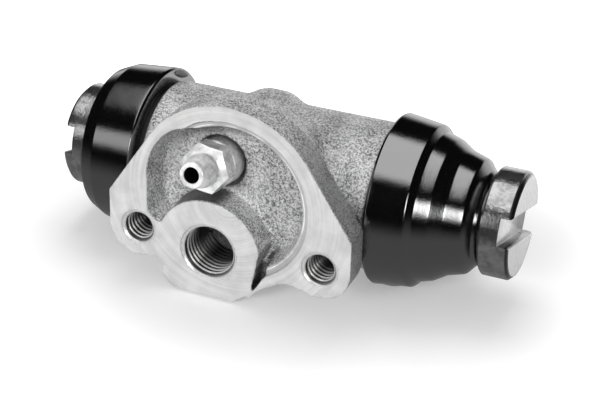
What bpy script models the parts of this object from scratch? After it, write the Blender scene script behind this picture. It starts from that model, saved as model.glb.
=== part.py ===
"""A hydraulic wheel cylinder for a drum brake, modelled as separate pieces at real size.

The cylinder's bore runs along X. The flange that is screwed to the backing plate faces -Y,
and the bleed screw stands above the pipe port (+Z up). Each piece is first drawn with the bore's
axis along X through the origin. All of them are then moved so that the origin lies on the mounting
face, in line with the middle of the bore. Lengths are in metres.
"""

import math

import bmesh
import bpy
from mathutils import Matrix, Vector

MM = 0.001

# Round forms: how many flat sides stand for a circle
SIDES_LARGE = 48
SIDES_SMALL = 24
ARC_SAGITTA = 0.035 * MM

# Clearances
SEAT_GAP = 0.3 * MM
RUNNING_GAP = 0.05 * MM
CUT_OVERSHOOT = 2 * MM
DRILL_POINT_SLOPE = math.tan(math.radians(31))

# Bore and barrel of the casting
BORE_RADIUS = 9.525 * MM
BORE_CHAMFER = 0.6 * MM
BARREL_RADIUS = 13.1 * MM
BARREL_HALF_LENGTH = 21.4 * MM
BARREL_EDGE_ROUND = 0.8 * MM
SPIGOT_RADIUS = 11.9 * MM
SPIGOT_LENGTH = 5.8 * MM
BOOT_GROOVE_DEPTH = 1.0 * MM
BOOT_GROOVE_WIDTH = 2.4 * MM
BOOT_GROOVE_START = 2.2 * MM

# Rounded band that carries the bleed passage over the top of the barrel
BAND_CENTRE_X = -2.7 * MM
BAND_WIDTH = 9.0 * MM
BAND_RADIUS = 12.1 * MM
BAND_OFFSET_Y = 0.8 * MM
BAND_OFFSET_Z = 2.6 * MM
BAND_EDGE_ROUND = 3.4 * MM

# Flange plate
FACE_Y = -21.5 * MM
PLATE_THICKNESS = 5.8 * MM
RING_CENTRE_Z = 4.3 * MM
RING_RADIUS = 17.3 * MM
PLATE_HALF_WIDTH = 22.5 * MM
PLATE_CORNER_Z = 1.7 * MM
LOBE_RADIUS = 5.5 * MM
LOBE_X = PLATE_HALF_WIDTH - LOBE_RADIUS
LOBE_Z = -4.5 * MM
LOBE_LEFT_END = math.radians(290.6)
LOBE_RIGHT_START = math.radians(-121.3)
# The web's right edge: share of the way from the port's boss to the lobe, and height in mm over the lobe's end
WEB_RIGHT_EDGE_MM = ((0, -4.0), (0.185, -2.0), (0.33, -0.7), (0.5, 0.1), (0.7, 0.5))
NECK_RADIUS = 15.6 * MM
NECK_BACK_RADIUS = 12.4 * MM
NECK_BACK_Y = -6.0 * MM
COLUMN_RADIUS = 4.2 * MM

# Screw holes in the lobes
SCREW_HOLE_RADIUS = 2.6 * MM
SCREW_HOLE_MOUTH_RADIUS = 3.3 * MM
SCREW_HOLE_DEPTH = 10.4 * MM

# Recess inside the flange's ring; its left side is squarer than its right, and has no turned step
RECESS_RADIUS = 14.6 * MM
RECESS_STEP_DEPTH = 0.9 * MM
RECESS_DEPTH = 5.4 * MM
STEP_END_X = -10.0 * MM
STEP_FADE = 4.0 * MM
STEP_LEFT_SCALE = 0.95
POCKET_RIGHT_SCALE = 0.93
POCKET_FLOOR_SCALE = 0.92
RECESS_RIGHT_ANGLE = math.radians(-62)
RECESS_LEFT_ANGLE = math.radians(115)
RECESS_LEFT_REACH = 15.2 * MM
RECESS_LEFT_ROUND = 11.0 * MM
RECESS_LEFT_Z = -1.4 * MM
RECESS_FOOT_ROUND = 2.0 * MM
RECESS_FOOT_Z = -5.5 * MM
RECESS_CORNER_DEPTH = 3.5 * MM
RECESS_CORNER_FOOT = (4.9 * MM, -12.0 * MM)

# Port for the brake pipe
PORT_X = -3.5 * MM
PORT_Z = -6.2 * MM
PORT_BOSS_RADIUS = 9.7 * MM
PORT_BOSS_BACK_Y = -7.0 * MM
PORT_BOSS_FLAT_TOP = (9.5 * MM, 2.0 * MM)
PORT_BOSS_FLAT_FOOT = (7.9 * MM, -6.4 * MM)
PORT_BOSS_FOOT_DROP = 8.7 * MM
PORT_BOSS_FOOT_REACH = 4.9 * MM
PORT_BOSS_LEFT_REACH = 9.0 * MM
PORT_BOSS_FOOT_ROUND = 3.4 * MM
PORT_HOLE_RADIUS = 4.5 * MM
PORT_MOUTH_RADIUS = 5.3 * MM
PORT_HOLE_DEPTH = 10.2 * MM
FEED_HOLE_RADIUS = 1.0 * MM
FEED_HOLE_DEPTH = 16.0 * MM

# Bleed screw
BLEED_X = -3.6 * MM
BLEED_TILT = math.radians(11.4)
BLEED_SEAT_Y = -16.1 * MM
BLEED_SEAT_Z = 9.0 * MM
BLEED_POCKET_RADIUS = 4.6 * MM
BLEED_POCKET_DEPTH = 1.0 * MM
BLEED_HOLE_RADIUS = 3.0 * MM
BLEED_HOLE_DEPTH = 5.0 * MM
BLEED_DRILL_RADIUS = 0.9 * MM
BLEED_DRILL_DEPTH = 13.0 * MM
BLEED_COLLAR_RADIUS = 4.2 * MM
BLEED_COLLAR_LENGTH = 4.0 * MM
BLEED_HEX_ACROSS_FLATS = 7.8 * MM
BLEED_HEX_LENGTH = 3.9 * MM
BLEED_HEX_OVERLAP = 0.15 * MM
BLEED_HEX_TURN = math.radians(40)
BLEED_CROWN_ROOT_SCALE = 1.05
BLEED_CROWN_END_SCALE = 0.65
BLEED_CROWN_SLOPE = math.tan(math.radians(30))
BLEED_NECK_RADIUS = 2.3 * MM
BLEED_NECK_LENGTH = 0.6 * MM
BLEED_BARB_RADIUS = 2.95 * MM
BLEED_BARB_SLOPE = 0.4 * MM
BLEED_TIP_RADIUS = 2.15 * MM
BLEED_TIP_ROUND = 0.3 * MM
BLEED_TIP_LENGTH = 3.9 * MM
BLEED_BORE_RADIUS = 1.4 * MM
BLEED_BORE_DEPTH = 10.5 * MM
BLEED_SHANK_LENGTH = 4.4 * MM
BLEED_SHANK_CONE = 1.4 * MM

# Pistons
PISTON_RADIUS = BORE_RADIUS - RUNNING_GAP
PISTON_LENGTH = 26.0 * MM
PISTON_HEAD_LENGTH = 5.3 * MM
PISTON_NECK_LENGTH = 5.4 * MM
PISTON_NECK_RADIUS = 6.3 * MM
PISTON_CHAMFER = 0.5 * MM
PISTON_END_CHAMFER = 0.75 * MM
PISTON_SLOT_WIDTH = 4.9 * MM
PISTON_SLOT_DEPTH = 2.0 * MM
PISTON_SLOT_MOUTH = 0.3 * MM
RIGHT_PISTON_REACH = 24.0 * MM
RIGHT_PISTON_END = BARREL_HALF_LENGTH + RIGHT_PISTON_REACH
RIGHT_SLOT_TURN = math.radians(-17)
LEFT_PISTON_REACH = 17.6 * MM
LEFT_PISTON_END = BARREL_HALF_LENGTH + LEFT_PISTON_REACH
LEFT_SLOT_TURN = math.radians(-15.5)

# Rubber cup seals, spring seats and spring
CUP_LENGTH = 5.7 * MM
CUP_BASE = 2.4 * MM
CUP_BASE_GAP = 0.325 * MM
CUP_LIP_GAP = 0.125 * MM
CUP_BASE_RADIUS = BORE_RADIUS - CUP_BASE_GAP
CUP_LIP_RADIUS = BORE_RADIUS - CUP_LIP_GAP
CUP_HOLLOW_RADIUS = 6.8 * MM
CUP_LIP_EDGE = 0.8 * MM
SEAT_DISC_RADIUS = 6.3 * MM
SEAT_DISC_THICKNESS = 0.8 * MM
SEAT_SPIGOT_RADIUS = 4.1 * MM
SEAT_SPIGOT_LENGTH = 2.0 * MM
SEAT_HOLE_RADIUS = 1.5 * MM
SPRING_WIRE_RADIUS = 0.5 * MM
SPRING_TURNS = 7.5
SPRING_POINTS_PER_TURN = 14
SPRING_END_BUNCHING = 0.45

# Rubber boots. A wall is a row of (distance past the barrel's shoulder, radius, rounding) in millimetres.
LEFT_BOOT_RIM_GAP = 0.9 * MM
RIGHT_BOOT_RIM_GAP = 0.3 * MM
BOOT_RIM_RADIUS = 15.2 * MM
BOOT_RIM_CHAMFER = 0.45 * MM
BOOT_WALL = 1.4 * MM
BOOT_LIP_LENGTH = 2.7 * MM
BOOT_LIP_HEIGHT = 2.2 * MM
LEFT_BOOT_LIP_FROM_HEAD = 2.0 * MM
RIGHT_BOOT_LIP_FROM_HEAD = 0.6 * MM
STRETCHED_INNER_WALL_MM = ((12.7, 10.1, 0), (8.8, 11.75, 0), (6.6, 12.95, 0))
STRETCHED_OUTER_WALL_MM = ((7.2, 14.35, 0.5), (8.3, 13.25, 0), (8.8, 13.0, 0), (9.1, 13.05, 0),
                           (13.9, 10.5, 0), (16.2, 9.9, 1.0), (17.3, 8.3, 0.5), (18.1, 8.0, 0.4))
PRESSED_INNER_WALL_MM = ((9.0, 9.5, 0), (10.1, 12.2, 0), (7.8, 13.15, 0))
PRESSED_OUTER_WALL_MM = ((8.8, 14.55, 0.5), (11.5, 13.3, 0.4), (11.8, 12.6, 0.3), (10.3, 8.6, 0.4))
TAB_RADIUS = 2.9 * MM
TAB_FROM_BARREL = 2.6 * MM
TAB_TOP = 14.9 * MM
TAB_BASE = 13.5 * MM
LEFT_TAB_TURN = math.radians(-25)
RIGHT_TAB_TURN = math.radians(155)

X_AXIS = Vector((1, 0, 0))
Y_AXIS = Vector((0, 1, 0))


def clear_scene():
    for old in list(bpy.data.objects):
        bpy.data.objects.remove(old, do_unlink=True)


def material(name, colour, roughness, metallic):
    made = bpy.data.materials.new(name)
    made.use_nodes = True
    shader = made.node_tree.nodes["Principled BSDF"]
    shader.inputs["Base Color"].default_value = (*colour, 1.0)
    shader.inputs["Roughness"].default_value = roughness
    shader.inputs["Metallic"].default_value = metallic
    return made


def object_from_bmesh(name, bm, finish=None, smooth=True):
    """Turns a bmesh into a named object with outward faces."""
    bmesh.ops.recalc_face_normals(bm, faces=bm.faces)
    mesh = bpy.data.meshes.new(name)
    bm.to_mesh(mesh)
    bm.free()
    if smooth:
        mesh.shade_smooth()
        mesh.set_sharp_from_angle(angle=math.radians(35))
    made = bpy.data.objects.new(name, mesh)
    bpy.context.scene.collection.objects.link(made)
    if finish is not None:
        made.data.materials.append(finish)
    return made


def arc(centre, radius, start, end):
    """Points on a circle from one angle to another, both ends included."""
    widest = 2 * math.acos(1 - min(1, ARC_SAGITTA / radius))
    count = max(1, math.ceil(abs(end - start) / widest))
    step = (end - start) / count
    return [(centre[0] + radius * math.cos(start + i * step),
             centre[1] + radius * math.sin(start + i * step)) for i in range(count + 1)]


def rounded(corners):
    """A polyline whose corners (a, b, radius) are replaced by tangent arcs; radius 0 stays sharp."""
    points = []
    for i, (a, b, radius) in enumerate(corners):
        here = Vector((a, b))
        if radius == 0 or i in (0, len(corners) - 1):
            points.append((a, b))
            continue
        before = (Vector(corners[i - 1][:2]) - here).normalized()
        after = (Vector(corners[i + 1][:2]) - here).normalized()
        half = before.angle(after) / 2
        centre = here + (before + after).normalized() * radius / math.sin(half)
        first = here + before * radius / math.tan(half) - centre
        last = here + after * radius / math.tan(half) - centre
        start = math.atan2(first.y, first.x)
        turn = math.atan2(first.cross(last), first.dot(last))
        points.extend(arc(centre, radius, start, start + turn))
    return points


def turned(name, profile, finish=None, closed=True, sides=SIDES_LARGE):
    """Spins a profile of (x, radius) points about X. An open profile starts and ends on the axis."""
    bm = bmesh.new()
    verts = [bm.verts.new((x, 0, radius)) for x, radius in profile]
    pairs = zip(verts, verts[1:] + verts[:1]) if closed else zip(verts, verts[1:])
    edges = [bm.edges.new(pair) for pair in pairs]
    bmesh.ops.spin(bm, geom=verts + edges, cent=(0, 0, 0), axis=X_AXIS, angle=math.tau,
                   steps=sides, use_merge=True)
    bmesh.ops.remove_doubles(bm, verts=bm.verts, dist=1e-7)
    return object_from_bmesh(name, bm, finish)


def prism(name, outline, front_y, back_y, back_scale=1.0):
    """Joins a flat (x, z) outline at front_y to the same outline, scaled about the flange's centre, at back_y."""
    bm = bmesh.new()
    front = [bm.verts.new((x, front_y, z)) for x, z in outline]
    back = [bm.verts.new((x * back_scale, back_y, RING_CENTRE_Z + (z - RING_CENTRE_Z) * back_scale))
            for x, z in outline]
    count = len(front)
    bm.faces.new(front)
    bm.faces.new(reversed(back))
    for i in range(count):
        j = (i + 1) % count
        bm.faces.new((front[i], back[i], back[j], front[j]))
    return object_from_bmesh(name, bm)


def turn_to(made, origin, direction):
    """Stands an object that was turned about X on a point, with its +X along a direction."""
    if direction == -X_AXIS:
        turn = Matrix.Rotation(math.pi, 4, 'Z')
    else:
        turn = X_AXIS.rotation_difference(direction).to_matrix().to_4x4()
    made.matrix_world = Matrix.Translation(origin) @ turn
    return made


def hole(name, origin, direction, profile, sides=SIDES_SMALL):
    """A cutter for a drilled hole: its profile of (depth, radius) points runs from the mouth inwards."""
    return turn_to(turned(name, profile, closed=False, sides=sides), origin, direction)


def drilled(mouth_radius, *steps):
    """Profile of a hole drilled in steps of (radius, depth), each ending in a drill point, with a wide mouth."""
    first_radius = steps[0][0]
    profile = [(-CUT_OVERSHOOT, 0), (-CUT_OVERSHOOT, mouth_radius), (0, mouth_radius),
               (mouth_radius - first_radius, first_radius)]
    for (radius, depth), (next_radius, _) in zip(steps, steps[1:] + ((0, 0),)):
        profile.append((depth, radius))
        profile.append((depth + (radius - next_radius) * DRILL_POINT_SLOPE, next_radius))
    return profile


def combine(target, other, operation):
    """Adds a Boolean to an object and hides the piece that it uses up."""
    step = target.modifiers.new(other.name, 'BOOLEAN')
    step.operation = operation
    step.solver = 'EXACT'
    step.object = other
    other.hide_render = True
    other.display_type = 'WIRE'


def plate_outline():
    """Front view of the flange: a round top, two straight slanted sides, two lobes and a web between them."""
    reach = math.hypot(PLATE_HALF_WIDTH, PLATE_CORNER_Z - RING_CENTRE_Z)
    corner_angle = math.atan2(PLATE_CORNER_Z - RING_CENTRE_Z, PLATE_HALF_WIDTH)
    tangent = corner_angle + math.acos(RING_RADIUS / reach)
    top = arc((0, RING_CENTRE_Z), RING_RADIUS, tangent, math.pi - tangent)
    left_lobe = arc((-LOBE_X, LOBE_Z), LOBE_RADIUS, math.pi, LOBE_LEFT_END)
    right_lobe = arc((LOBE_X, LOBE_Z), LOBE_RADIUS, LOBE_RIGHT_START, 0)
    web_x, web_z = right_lobe[0]
    foot_x = PORT_X + PORT_BOSS_FLAT_FOOT[0]
    right_web = [(foot_x + (web_x - foot_x) * share, web_z + rise * MM) for share, rise in WEB_RIGHT_EDGE_MM]
    return (top + [(-PLATE_HALF_WIDTH, PLATE_CORNER_Z)] + left_lobe + [(PORT_X, left_lobe[-1][1])] + right_web
            + right_lobe + [(PLATE_HALF_WIDTH, PLATE_CORNER_Z)])


def port_boss_outline():
    """Front view of the port's boss: round above, with one flat side, a shallow foot and a square lower corner."""
    flat_top = (PORT_X + PORT_BOSS_FLAT_TOP[0], PORT_Z + PORT_BOSS_FLAT_TOP[1])
    flat_foot = (PORT_X + PORT_BOSS_FLAT_FOOT[0], PORT_Z + PORT_BOSS_FLAT_FOOT[1])
    start = math.atan2(PORT_BOSS_FLAT_TOP[1], PORT_BOSS_FLAT_TOP[0])
    left = PORT_X - PORT_BOSS_LEFT_REACH
    end = math.pi - math.acos(PORT_BOSS_LEFT_REACH / PORT_BOSS_RADIUS)
    crown = arc((PORT_X, PORT_Z), PORT_BOSS_RADIUS, start, end)
    foot = PORT_Z - PORT_BOSS_FOOT_DROP
    corner = rounded([(left, PORT_Z, 0), (left, foot, PORT_BOSS_FOOT_ROUND), (PORT_X, foot, 0)])
    return [flat_top] + crown[1:] + corner + [(PORT_X + PORT_BOSS_FOOT_REACH, foot), flat_foot]


def recess_outline(right_scale, left_scale):
    """Front view of the recess: round at the right and top, squarer at the left, open towards the port's boss.

    Its right and left parts are scaled about the ring's centre, with an even change between them.
    """
    round_part = arc((0, RING_CENTRE_Z), RECESS_RADIUS, RECESS_RIGHT_ANGLE, RECESS_LEFT_ANGLE)
    last = Vector(round_part[-1])
    slope = -math.cos(RECESS_LEFT_ANGLE) / math.sin(RECESS_LEFT_ANGLE)
    left_top = last.y - (RECESS_LEFT_REACH + last.x) * slope
    left_part = rounded([(*last, 0), (-RECESS_LEFT_REACH, left_top, RECESS_LEFT_ROUND),
                         (-RECESS_LEFT_REACH, RECESS_LEFT_Z, RECESS_FOOT_ROUND),
                         (PORT_X - PORT_BOSS_LEFT_REACH / 2, RECESS_FOOT_Z, 0)])
    outline = round_part + left_part[1:] + [(PORT_X, PORT_Z), (PORT_X + PORT_BOSS_FOOT_REACH, round_part[0][1])]
    scaled = []
    for x, z in outline:
        share = min(1, max(0, (STEP_END_X + STEP_FADE - x) / STEP_FADE))
        scale = right_scale + (left_scale - right_scale) * share
        scaled.append((x * scale, RING_CENTRE_Z + (z - RING_CENTRE_Z) * scale))
    return scaled


def recess_corner_outline():
    """Front view of the shallow end of the recess, which runs down along the flat side of the port's boss."""
    first_x, first_z = recess_outline(1, 1)[0]
    return [(first_x, first_z), (first_x, PORT_Z), (PORT_X, PORT_Z), (PORT_X, RECESS_CORNER_FOOT[1]), RECESS_CORNER_FOOT]


def bleed_axis():
    return Vector((0, math.cos(BLEED_TILT), -math.sin(BLEED_TILT)))


def barrel_profile():
    """Half section of the barrel: cast middle, turned spigots, and a groove on each for the boot's bead."""
    end = BARREL_HALF_LENGTH + SPIGOT_LENGTH
    groove = BARREL_HALF_LENGTH + BOOT_GROOVE_START
    floor = SPIGOT_RADIUS - BOOT_GROOVE_DEPTH
    half = [(BARREL_HALF_LENGTH, BARREL_RADIUS, BARREL_EDGE_ROUND), (BARREL_HALF_LENGTH, SPIGOT_RADIUS, 0),
            (groove, SPIGOT_RADIUS, 0), (groove, floor, 0), (groove + BOOT_GROOVE_WIDTH, floor, 0),
            (groove + BOOT_GROOVE_WIDTH, SPIGOT_RADIUS, 0), (end - BORE_CHAMFER, SPIGOT_RADIUS, 0),
            (end, SPIGOT_RADIUS - BORE_CHAMFER, 0), (end, 0, 0)]
    right = rounded([(0, BARREL_RADIUS, 0)] + half)
    return [(-x, radius) for x, radius in reversed(right)] + right[1:]


def bore_profile():
    """Cutter for the through bore, flared at both mouths."""
    end = BARREL_HALF_LENGTH + SPIGOT_LENGTH
    flare = BORE_RADIUS + BORE_CHAMFER
    right = [(end - BORE_CHAMFER, BORE_RADIUS), (end, flare), (end + CUT_OVERSHOOT, flare), (end + CUT_OVERSHOOT, 0)]
    return [(-x, radius) for x, radius in reversed(right)] + right


def band_profile():
    """Half section of the rounded band, about its own axis."""
    half = BAND_WIDTH / 2
    right = rounded([(0, BAND_RADIUS, 0), (half, BAND_RADIUS, BAND_EDGE_ROUND), (half, 0, 0)])
    return [(-x, radius) for x, radius in reversed(right)] + right[1:]


def housing(finish):
    """The casting, machined on its face, spigots, bore, port, screw holes and bleed seat."""
    body = turned("housing", barrel_profile(), finish, closed=False)
    band = turned("band_form", band_profile(), closed=False)
    band.location = (BAND_CENTRE_X, BAND_OFFSET_Y, BAND_OFFSET_Z)
    combine(body, band, 'UNION')

    outline = plate_outline()
    plate = prism("plate_form", outline, FACE_Y, FACE_Y + PLATE_THICKNESS)
    combine(body, plate, 'UNION')
    neck = prism("neck_form", arc((0, RING_CENTRE_Z), NECK_RADIUS, 0, math.tau)[:-1],
                 FACE_Y + PLATE_THICKNESS / 2, NECK_BACK_Y, NECK_BACK_RADIUS / NECK_RADIUS)
    combine(body, neck, 'UNION')
    for side, name in ((-1, "left"), (1, "right")):
        column = prism(f"{name}_lobe_form", arc((side * LOBE_X, LOBE_Z), COLUMN_RADIUS, 0, math.tau)[:-1],
                       FACE_Y + PLATE_THICKNESS / 2, NECK_BACK_Y)
        combine(body, column, 'UNION')

    step = prism("recess_step", recess_outline(1, STEP_LEFT_SCALE), FACE_Y - CUT_OVERSHOOT, FACE_Y + RECESS_STEP_DEPTH)
    combine(body, step, 'DIFFERENCE')
    pocket = prism("recess_pocket", recess_outline(POCKET_RIGHT_SCALE, 1), FACE_Y, FACE_Y + RECESS_DEPTH,
                   POCKET_FLOOR_SCALE)
    combine(body, pocket, 'DIFFERENCE')
    corner = prism("recess_corner", recess_corner_outline(), FACE_Y - CUT_OVERSHOOT, FACE_Y + RECESS_CORNER_DEPTH)
    combine(body, corner, 'DIFFERENCE')
    boss = prism("port_boss_form", port_boss_outline(), FACE_Y, PORT_BOSS_BACK_Y)
    combine(body, boss, 'UNION')

    combine(body, turned("bore", bore_profile(), closed=False), 'DIFFERENCE')
    combine(body, hole("port_hole", Vector((PORT_X, FACE_Y, PORT_Z)), Y_AXIS,
                       drilled(PORT_MOUTH_RADIUS, (PORT_HOLE_RADIUS, PORT_HOLE_DEPTH),
                               (FEED_HOLE_RADIUS, FEED_HOLE_DEPTH))), 'DIFFERENCE')
    for side, name in ((-1, "left"), (1, "right")):
        mouth = Vector((side * LOBE_X, FACE_Y, LOBE_Z))
        combine(body, hole(f"{name}_screw_hole", mouth, Y_AXIS,
                           drilled(SCREW_HOLE_MOUTH_RADIUS, (SCREW_HOLE_RADIUS, SCREW_HOLE_DEPTH))), 'DIFFERENCE')

    pocket_and_hole = [(-CUT_OVERSHOOT, 0), (-CUT_OVERSHOOT, BLEED_POCKET_RADIUS),
                       (BLEED_POCKET_DEPTH, BLEED_POCKET_RADIUS)]
    pocket_and_hole += [(BLEED_POCKET_DEPTH + depth, radius) for depth, radius in
                        drilled(BLEED_HOLE_RADIUS, (BLEED_HOLE_RADIUS, BLEED_HOLE_DEPTH),
                                (BLEED_DRILL_RADIUS, BLEED_DRILL_DEPTH))[3:]]
    combine(body, hole("bleed_hole", Vector((BLEED_X, BLEED_SEAT_Y, BLEED_SEAT_Z)), bleed_axis(), pocket_and_hole),
            'DIFFERENCE')
    return body


def bleed_screw(finish):
    """The bleed screw: sealing cone, shank, collar, hexagon and barbed nipple, drilled from its tip."""
    base = BLEED_POCKET_DEPTH - SEAT_GAP
    shank_radius = BLEED_HOLE_RADIUS - 2 * RUNNING_GAP
    collar = -base + BLEED_COLLAR_LENGTH
    hexagon_end = collar + BLEED_HEX_LENGTH
    neck_end = hexagon_end + BLEED_NECK_LENGTH
    tip = neck_end + BLEED_TIP_LENGTH
    corner_radius = BLEED_HEX_ACROSS_FLATS / 2 / math.cos(math.radians(30))
    foot = -base - BLEED_SHANK_LENGTH
    profile = [(foot, 0), (foot, shank_radius - BLEED_SHANK_CONE), (foot + BLEED_SHANK_CONE, shank_radius),
               (-base, shank_radius), (-base, BLEED_COLLAR_RADIUS), (collar, BLEED_COLLAR_RADIUS),
               (collar, BLEED_NECK_RADIUS), (neck_end, BLEED_NECK_RADIUS),
               (neck_end + BLEED_BARB_SLOPE, BLEED_BARB_RADIUS), (tip - BLEED_TIP_ROUND, BLEED_TIP_RADIUS),
               (tip, BLEED_TIP_RADIUS - BLEED_TIP_ROUND), (tip, 0)]
    screw = turned("bleed_screw", profile, finish, closed=False, sides=SIDES_SMALL)

    bm = bmesh.new()
    depth = BLEED_HEX_LENGTH + BLEED_HEX_OVERLAP
    bmesh.ops.create_cone(bm, cap_ends=True, segments=6, radius1=corner_radius, radius2=corner_radius, depth=depth,
                          matrix=Matrix.Rotation(BLEED_HEX_TURN, 4, 'X') @ Matrix.Rotation(math.pi / 2, 4, 'Y'))
    hexagon = object_from_bmesh("hexagon_form", bm)
    hexagon.location.x = hexagon_end - depth / 2
    crown_root = corner_radius * BLEED_CROWN_ROOT_SCALE
    crown_end = corner_radius * BLEED_CROWN_END_SCALE
    crown_start = hexagon_end - (crown_root - crown_end) * BLEED_CROWN_SLOPE
    crown_top = hexagon_end + BLEED_HEX_OVERLAP
    rounding = turned("hexagon_crown", [(collar - CUT_OVERSHOOT, 0), (collar - CUT_OVERSHOOT, crown_root),
                                        (crown_start, crown_root),
                                        (crown_top, crown_end - BLEED_HEX_OVERLAP / BLEED_CROWN_SLOPE),
                                        (crown_top, 0)], closed=False, sides=SIDES_SMALL)
    combine(hexagon, rounding, 'INTERSECT')
    nipple_bore = turned("nipple_bore", [(tip + CUT_OVERSHOOT, 0), (tip + CUT_OVERSHOOT, BLEED_BORE_RADIUS),
                                         (tip - BLEED_BORE_DEPTH, BLEED_BORE_RADIUS), (tip - BLEED_BORE_DEPTH, 0)],
                         closed=False, sides=SIDES_SMALL)
    combine(screw, hexagon, 'UNION')
    combine(screw, nipple_bore, 'DIFFERENCE')

    axis_empty = bpy.data.objects.new("bleed_screw_axis", None)
    bpy.context.scene.collection.objects.link(axis_empty)
    turn_to(axis_empty, Vector((BLEED_X, BLEED_SEAT_Y, BLEED_SEAT_Z)), -bleed_axis())
    for made in (screw, hexagon, rounding, nipple_bore):
        made.parent = axis_empty
    return screw


def piston_profile():
    """Half section of a piston with its inner face at x = 0: plain body, neck for the boot's lip, and head."""
    head = PISTON_LENGTH - PISTON_HEAD_LENGTH
    neck = head - PISTON_NECK_LENGTH
    return [(0, 0), (0, PISTON_RADIUS - PISTON_CHAMFER), (PISTON_CHAMFER, PISTON_RADIUS),
            (neck - PISTON_CHAMFER, PISTON_RADIUS), (neck, PISTON_RADIUS - PISTON_CHAMFER),
            (neck, PISTON_NECK_RADIUS), (head, PISTON_NECK_RADIUS), (head, PISTON_RADIUS - PISTON_CHAMFER),
            (head + PISTON_CHAMFER, PISTON_RADIUS), (PISTON_LENGTH - PISTON_END_CHAMFER, PISTON_RADIUS),
            (PISTON_LENGTH, PISTON_RADIUS - PISTON_END_CHAMFER), (PISTON_LENGTH, 0)]


def slot_outline():
    """End view of the slot for the brake shoe's web, in (x, z), with its mouth slightly flared."""
    floor = PISTON_LENGTH - PISTON_SLOT_DEPTH
    half = PISTON_SLOT_WIDTH / 2
    wide = half + PISTON_SLOT_MOUTH
    return [(floor, -half), (PISTON_LENGTH - PISTON_SLOT_MOUTH, -half), (PISTON_LENGTH, -wide),
            (PISTON_LENGTH + CUT_OVERSHOOT, -wide), (PISTON_LENGTH + CUT_OVERSHOOT, wide), (PISTON_LENGTH, wide),
            (PISTON_LENGTH - PISTON_SLOT_MOUTH, half), (floor, half)]


def piston(name, side, end, slot_turn, finish):
    """A piston whose slotted head ends at the given distance; side is +1 on the right and -1 on the left."""
    made = turned(name, piston_profile(), finish, closed=False)
    slot = prism(f"{name}_slot", slot_outline(), -PISTON_RADIUS - CUT_OVERSHOOT, PISTON_RADIUS + CUT_OVERSHOOT)
    combine(made, slot, 'DIFFERENCE')
    for each in (made, slot):
        turn_to(each, Vector((side * (end - PISTON_LENGTH), 0, 0)), X_AXIS * side)
    slot.matrix_world = Matrix.Rotation(slot_turn, 4, 'X') @ slot.matrix_world
    return made


def cup_profile():
    """Half section of a rubber cup with its base's flat face at x = 0 and its lips towards -x."""
    lip = -CUP_LENGTH
    return [(0, 0), (0, CUP_BASE_RADIUS - PISTON_CHAMFER), (-PISTON_CHAMFER, CUP_BASE_RADIUS),
            (-CUP_BASE, CUP_BASE_RADIUS), (lip + CUP_LIP_EDGE, CUP_LIP_RADIUS), (lip, CUP_LIP_RADIUS - CUP_LIP_EDGE / 2),
            (lip, CUP_LIP_RADIUS - CUP_LIP_EDGE * 1.3), (-CUP_BASE - CUP_LIP_EDGE, CUP_HOLLOW_RADIUS),
            (-CUP_BASE, CUP_HOLLOW_RADIUS - CUP_LIP_EDGE / 2), (-CUP_BASE, 0)]


def seat_profile():
    """Half section of a pressed spring seat with its back at x = 0 and its spigot towards -x."""
    return [(0, SEAT_HOLE_RADIUS), (0, SEAT_DISC_RADIUS), (-SEAT_DISC_THICKNESS, SEAT_DISC_RADIUS),
            (-SEAT_DISC_THICKNESS, SEAT_SPIGOT_RADIUS),
            (-SEAT_DISC_THICKNESS - SEAT_SPIGOT_LENGTH, SEAT_SPIGOT_RADIUS - SEAT_GAP),
            (-SEAT_DISC_THICKNESS - SEAT_SPIGOT_LENGTH, SEAT_HOLE_RADIUS)]


def inner_face(end):
    """Distance from the middle to the face of a piston that bears on its cup."""
    return end - PISTON_LENGTH


def cup(name, side, end, finish):
    made = turned(name, cup_profile(), finish, closed=False)
    return turn_to(made, Vector((side * (inner_face(end) - SEAT_GAP), 0, 0)), X_AXIS * side)


def seat_back(end):
    """Distance from the middle to the back of a spring seat, which lies in its cup's hollow."""
    return inner_face(end) - SEAT_GAP - CUP_BASE - SEAT_GAP


def spring_seat(name, side, end, finish):
    made = turned(name, seat_profile(), finish, sides=SIDES_SMALL)
    return turn_to(made, Vector((side * seat_back(end), 0, 0)), X_AXIS * side)


def spring(finish):
    """The compression spring between the two seats: a helix whose end turns lie closer together."""
    margin = SEAT_DISC_THICKNESS + SEAT_GAP + SPRING_WIRE_RADIUS
    start = -seat_back(LEFT_PISTON_END) + margin
    length = seat_back(RIGHT_PISTON_END) - margin - start
    radius = SEAT_SPIGOT_RADIUS + SEAT_GAP + SPRING_WIRE_RADIUS
    count = round(SPRING_TURNS * SPRING_POINTS_PER_TURN)
    curve = bpy.data.curves.new("spring", 'CURVE')
    curve.dimensions = '3D'
    curve.bevel_depth = SPRING_WIRE_RADIUS
    curve.bevel_resolution = 1
    curve.use_fill_caps = True
    wire = curve.splines.new('POLY')
    wire.points.add(count)
    for i, point in enumerate(wire.points):
        share = i / count
        angle = share * SPRING_TURNS * math.tau
        x = start + length * (share - SPRING_END_BUNCHING * math.sin(share * math.tau) / math.tau)
        point.co = (x, radius * math.cos(angle), radius * math.sin(angle), 1)
    curve.materials.append(finish)
    made = bpy.data.objects.new("spring", curve)
    bpy.context.scene.collection.objects.link(made)
    return made


def wall(points):
    """A row of (distance past the barrel's shoulder, radius, rounding) in millimetres, as corners in metres."""
    return [(BARREL_HALF_LENGTH + x * MM, radius * MM, rounding * MM) for x, radius, rounding in points]


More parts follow.
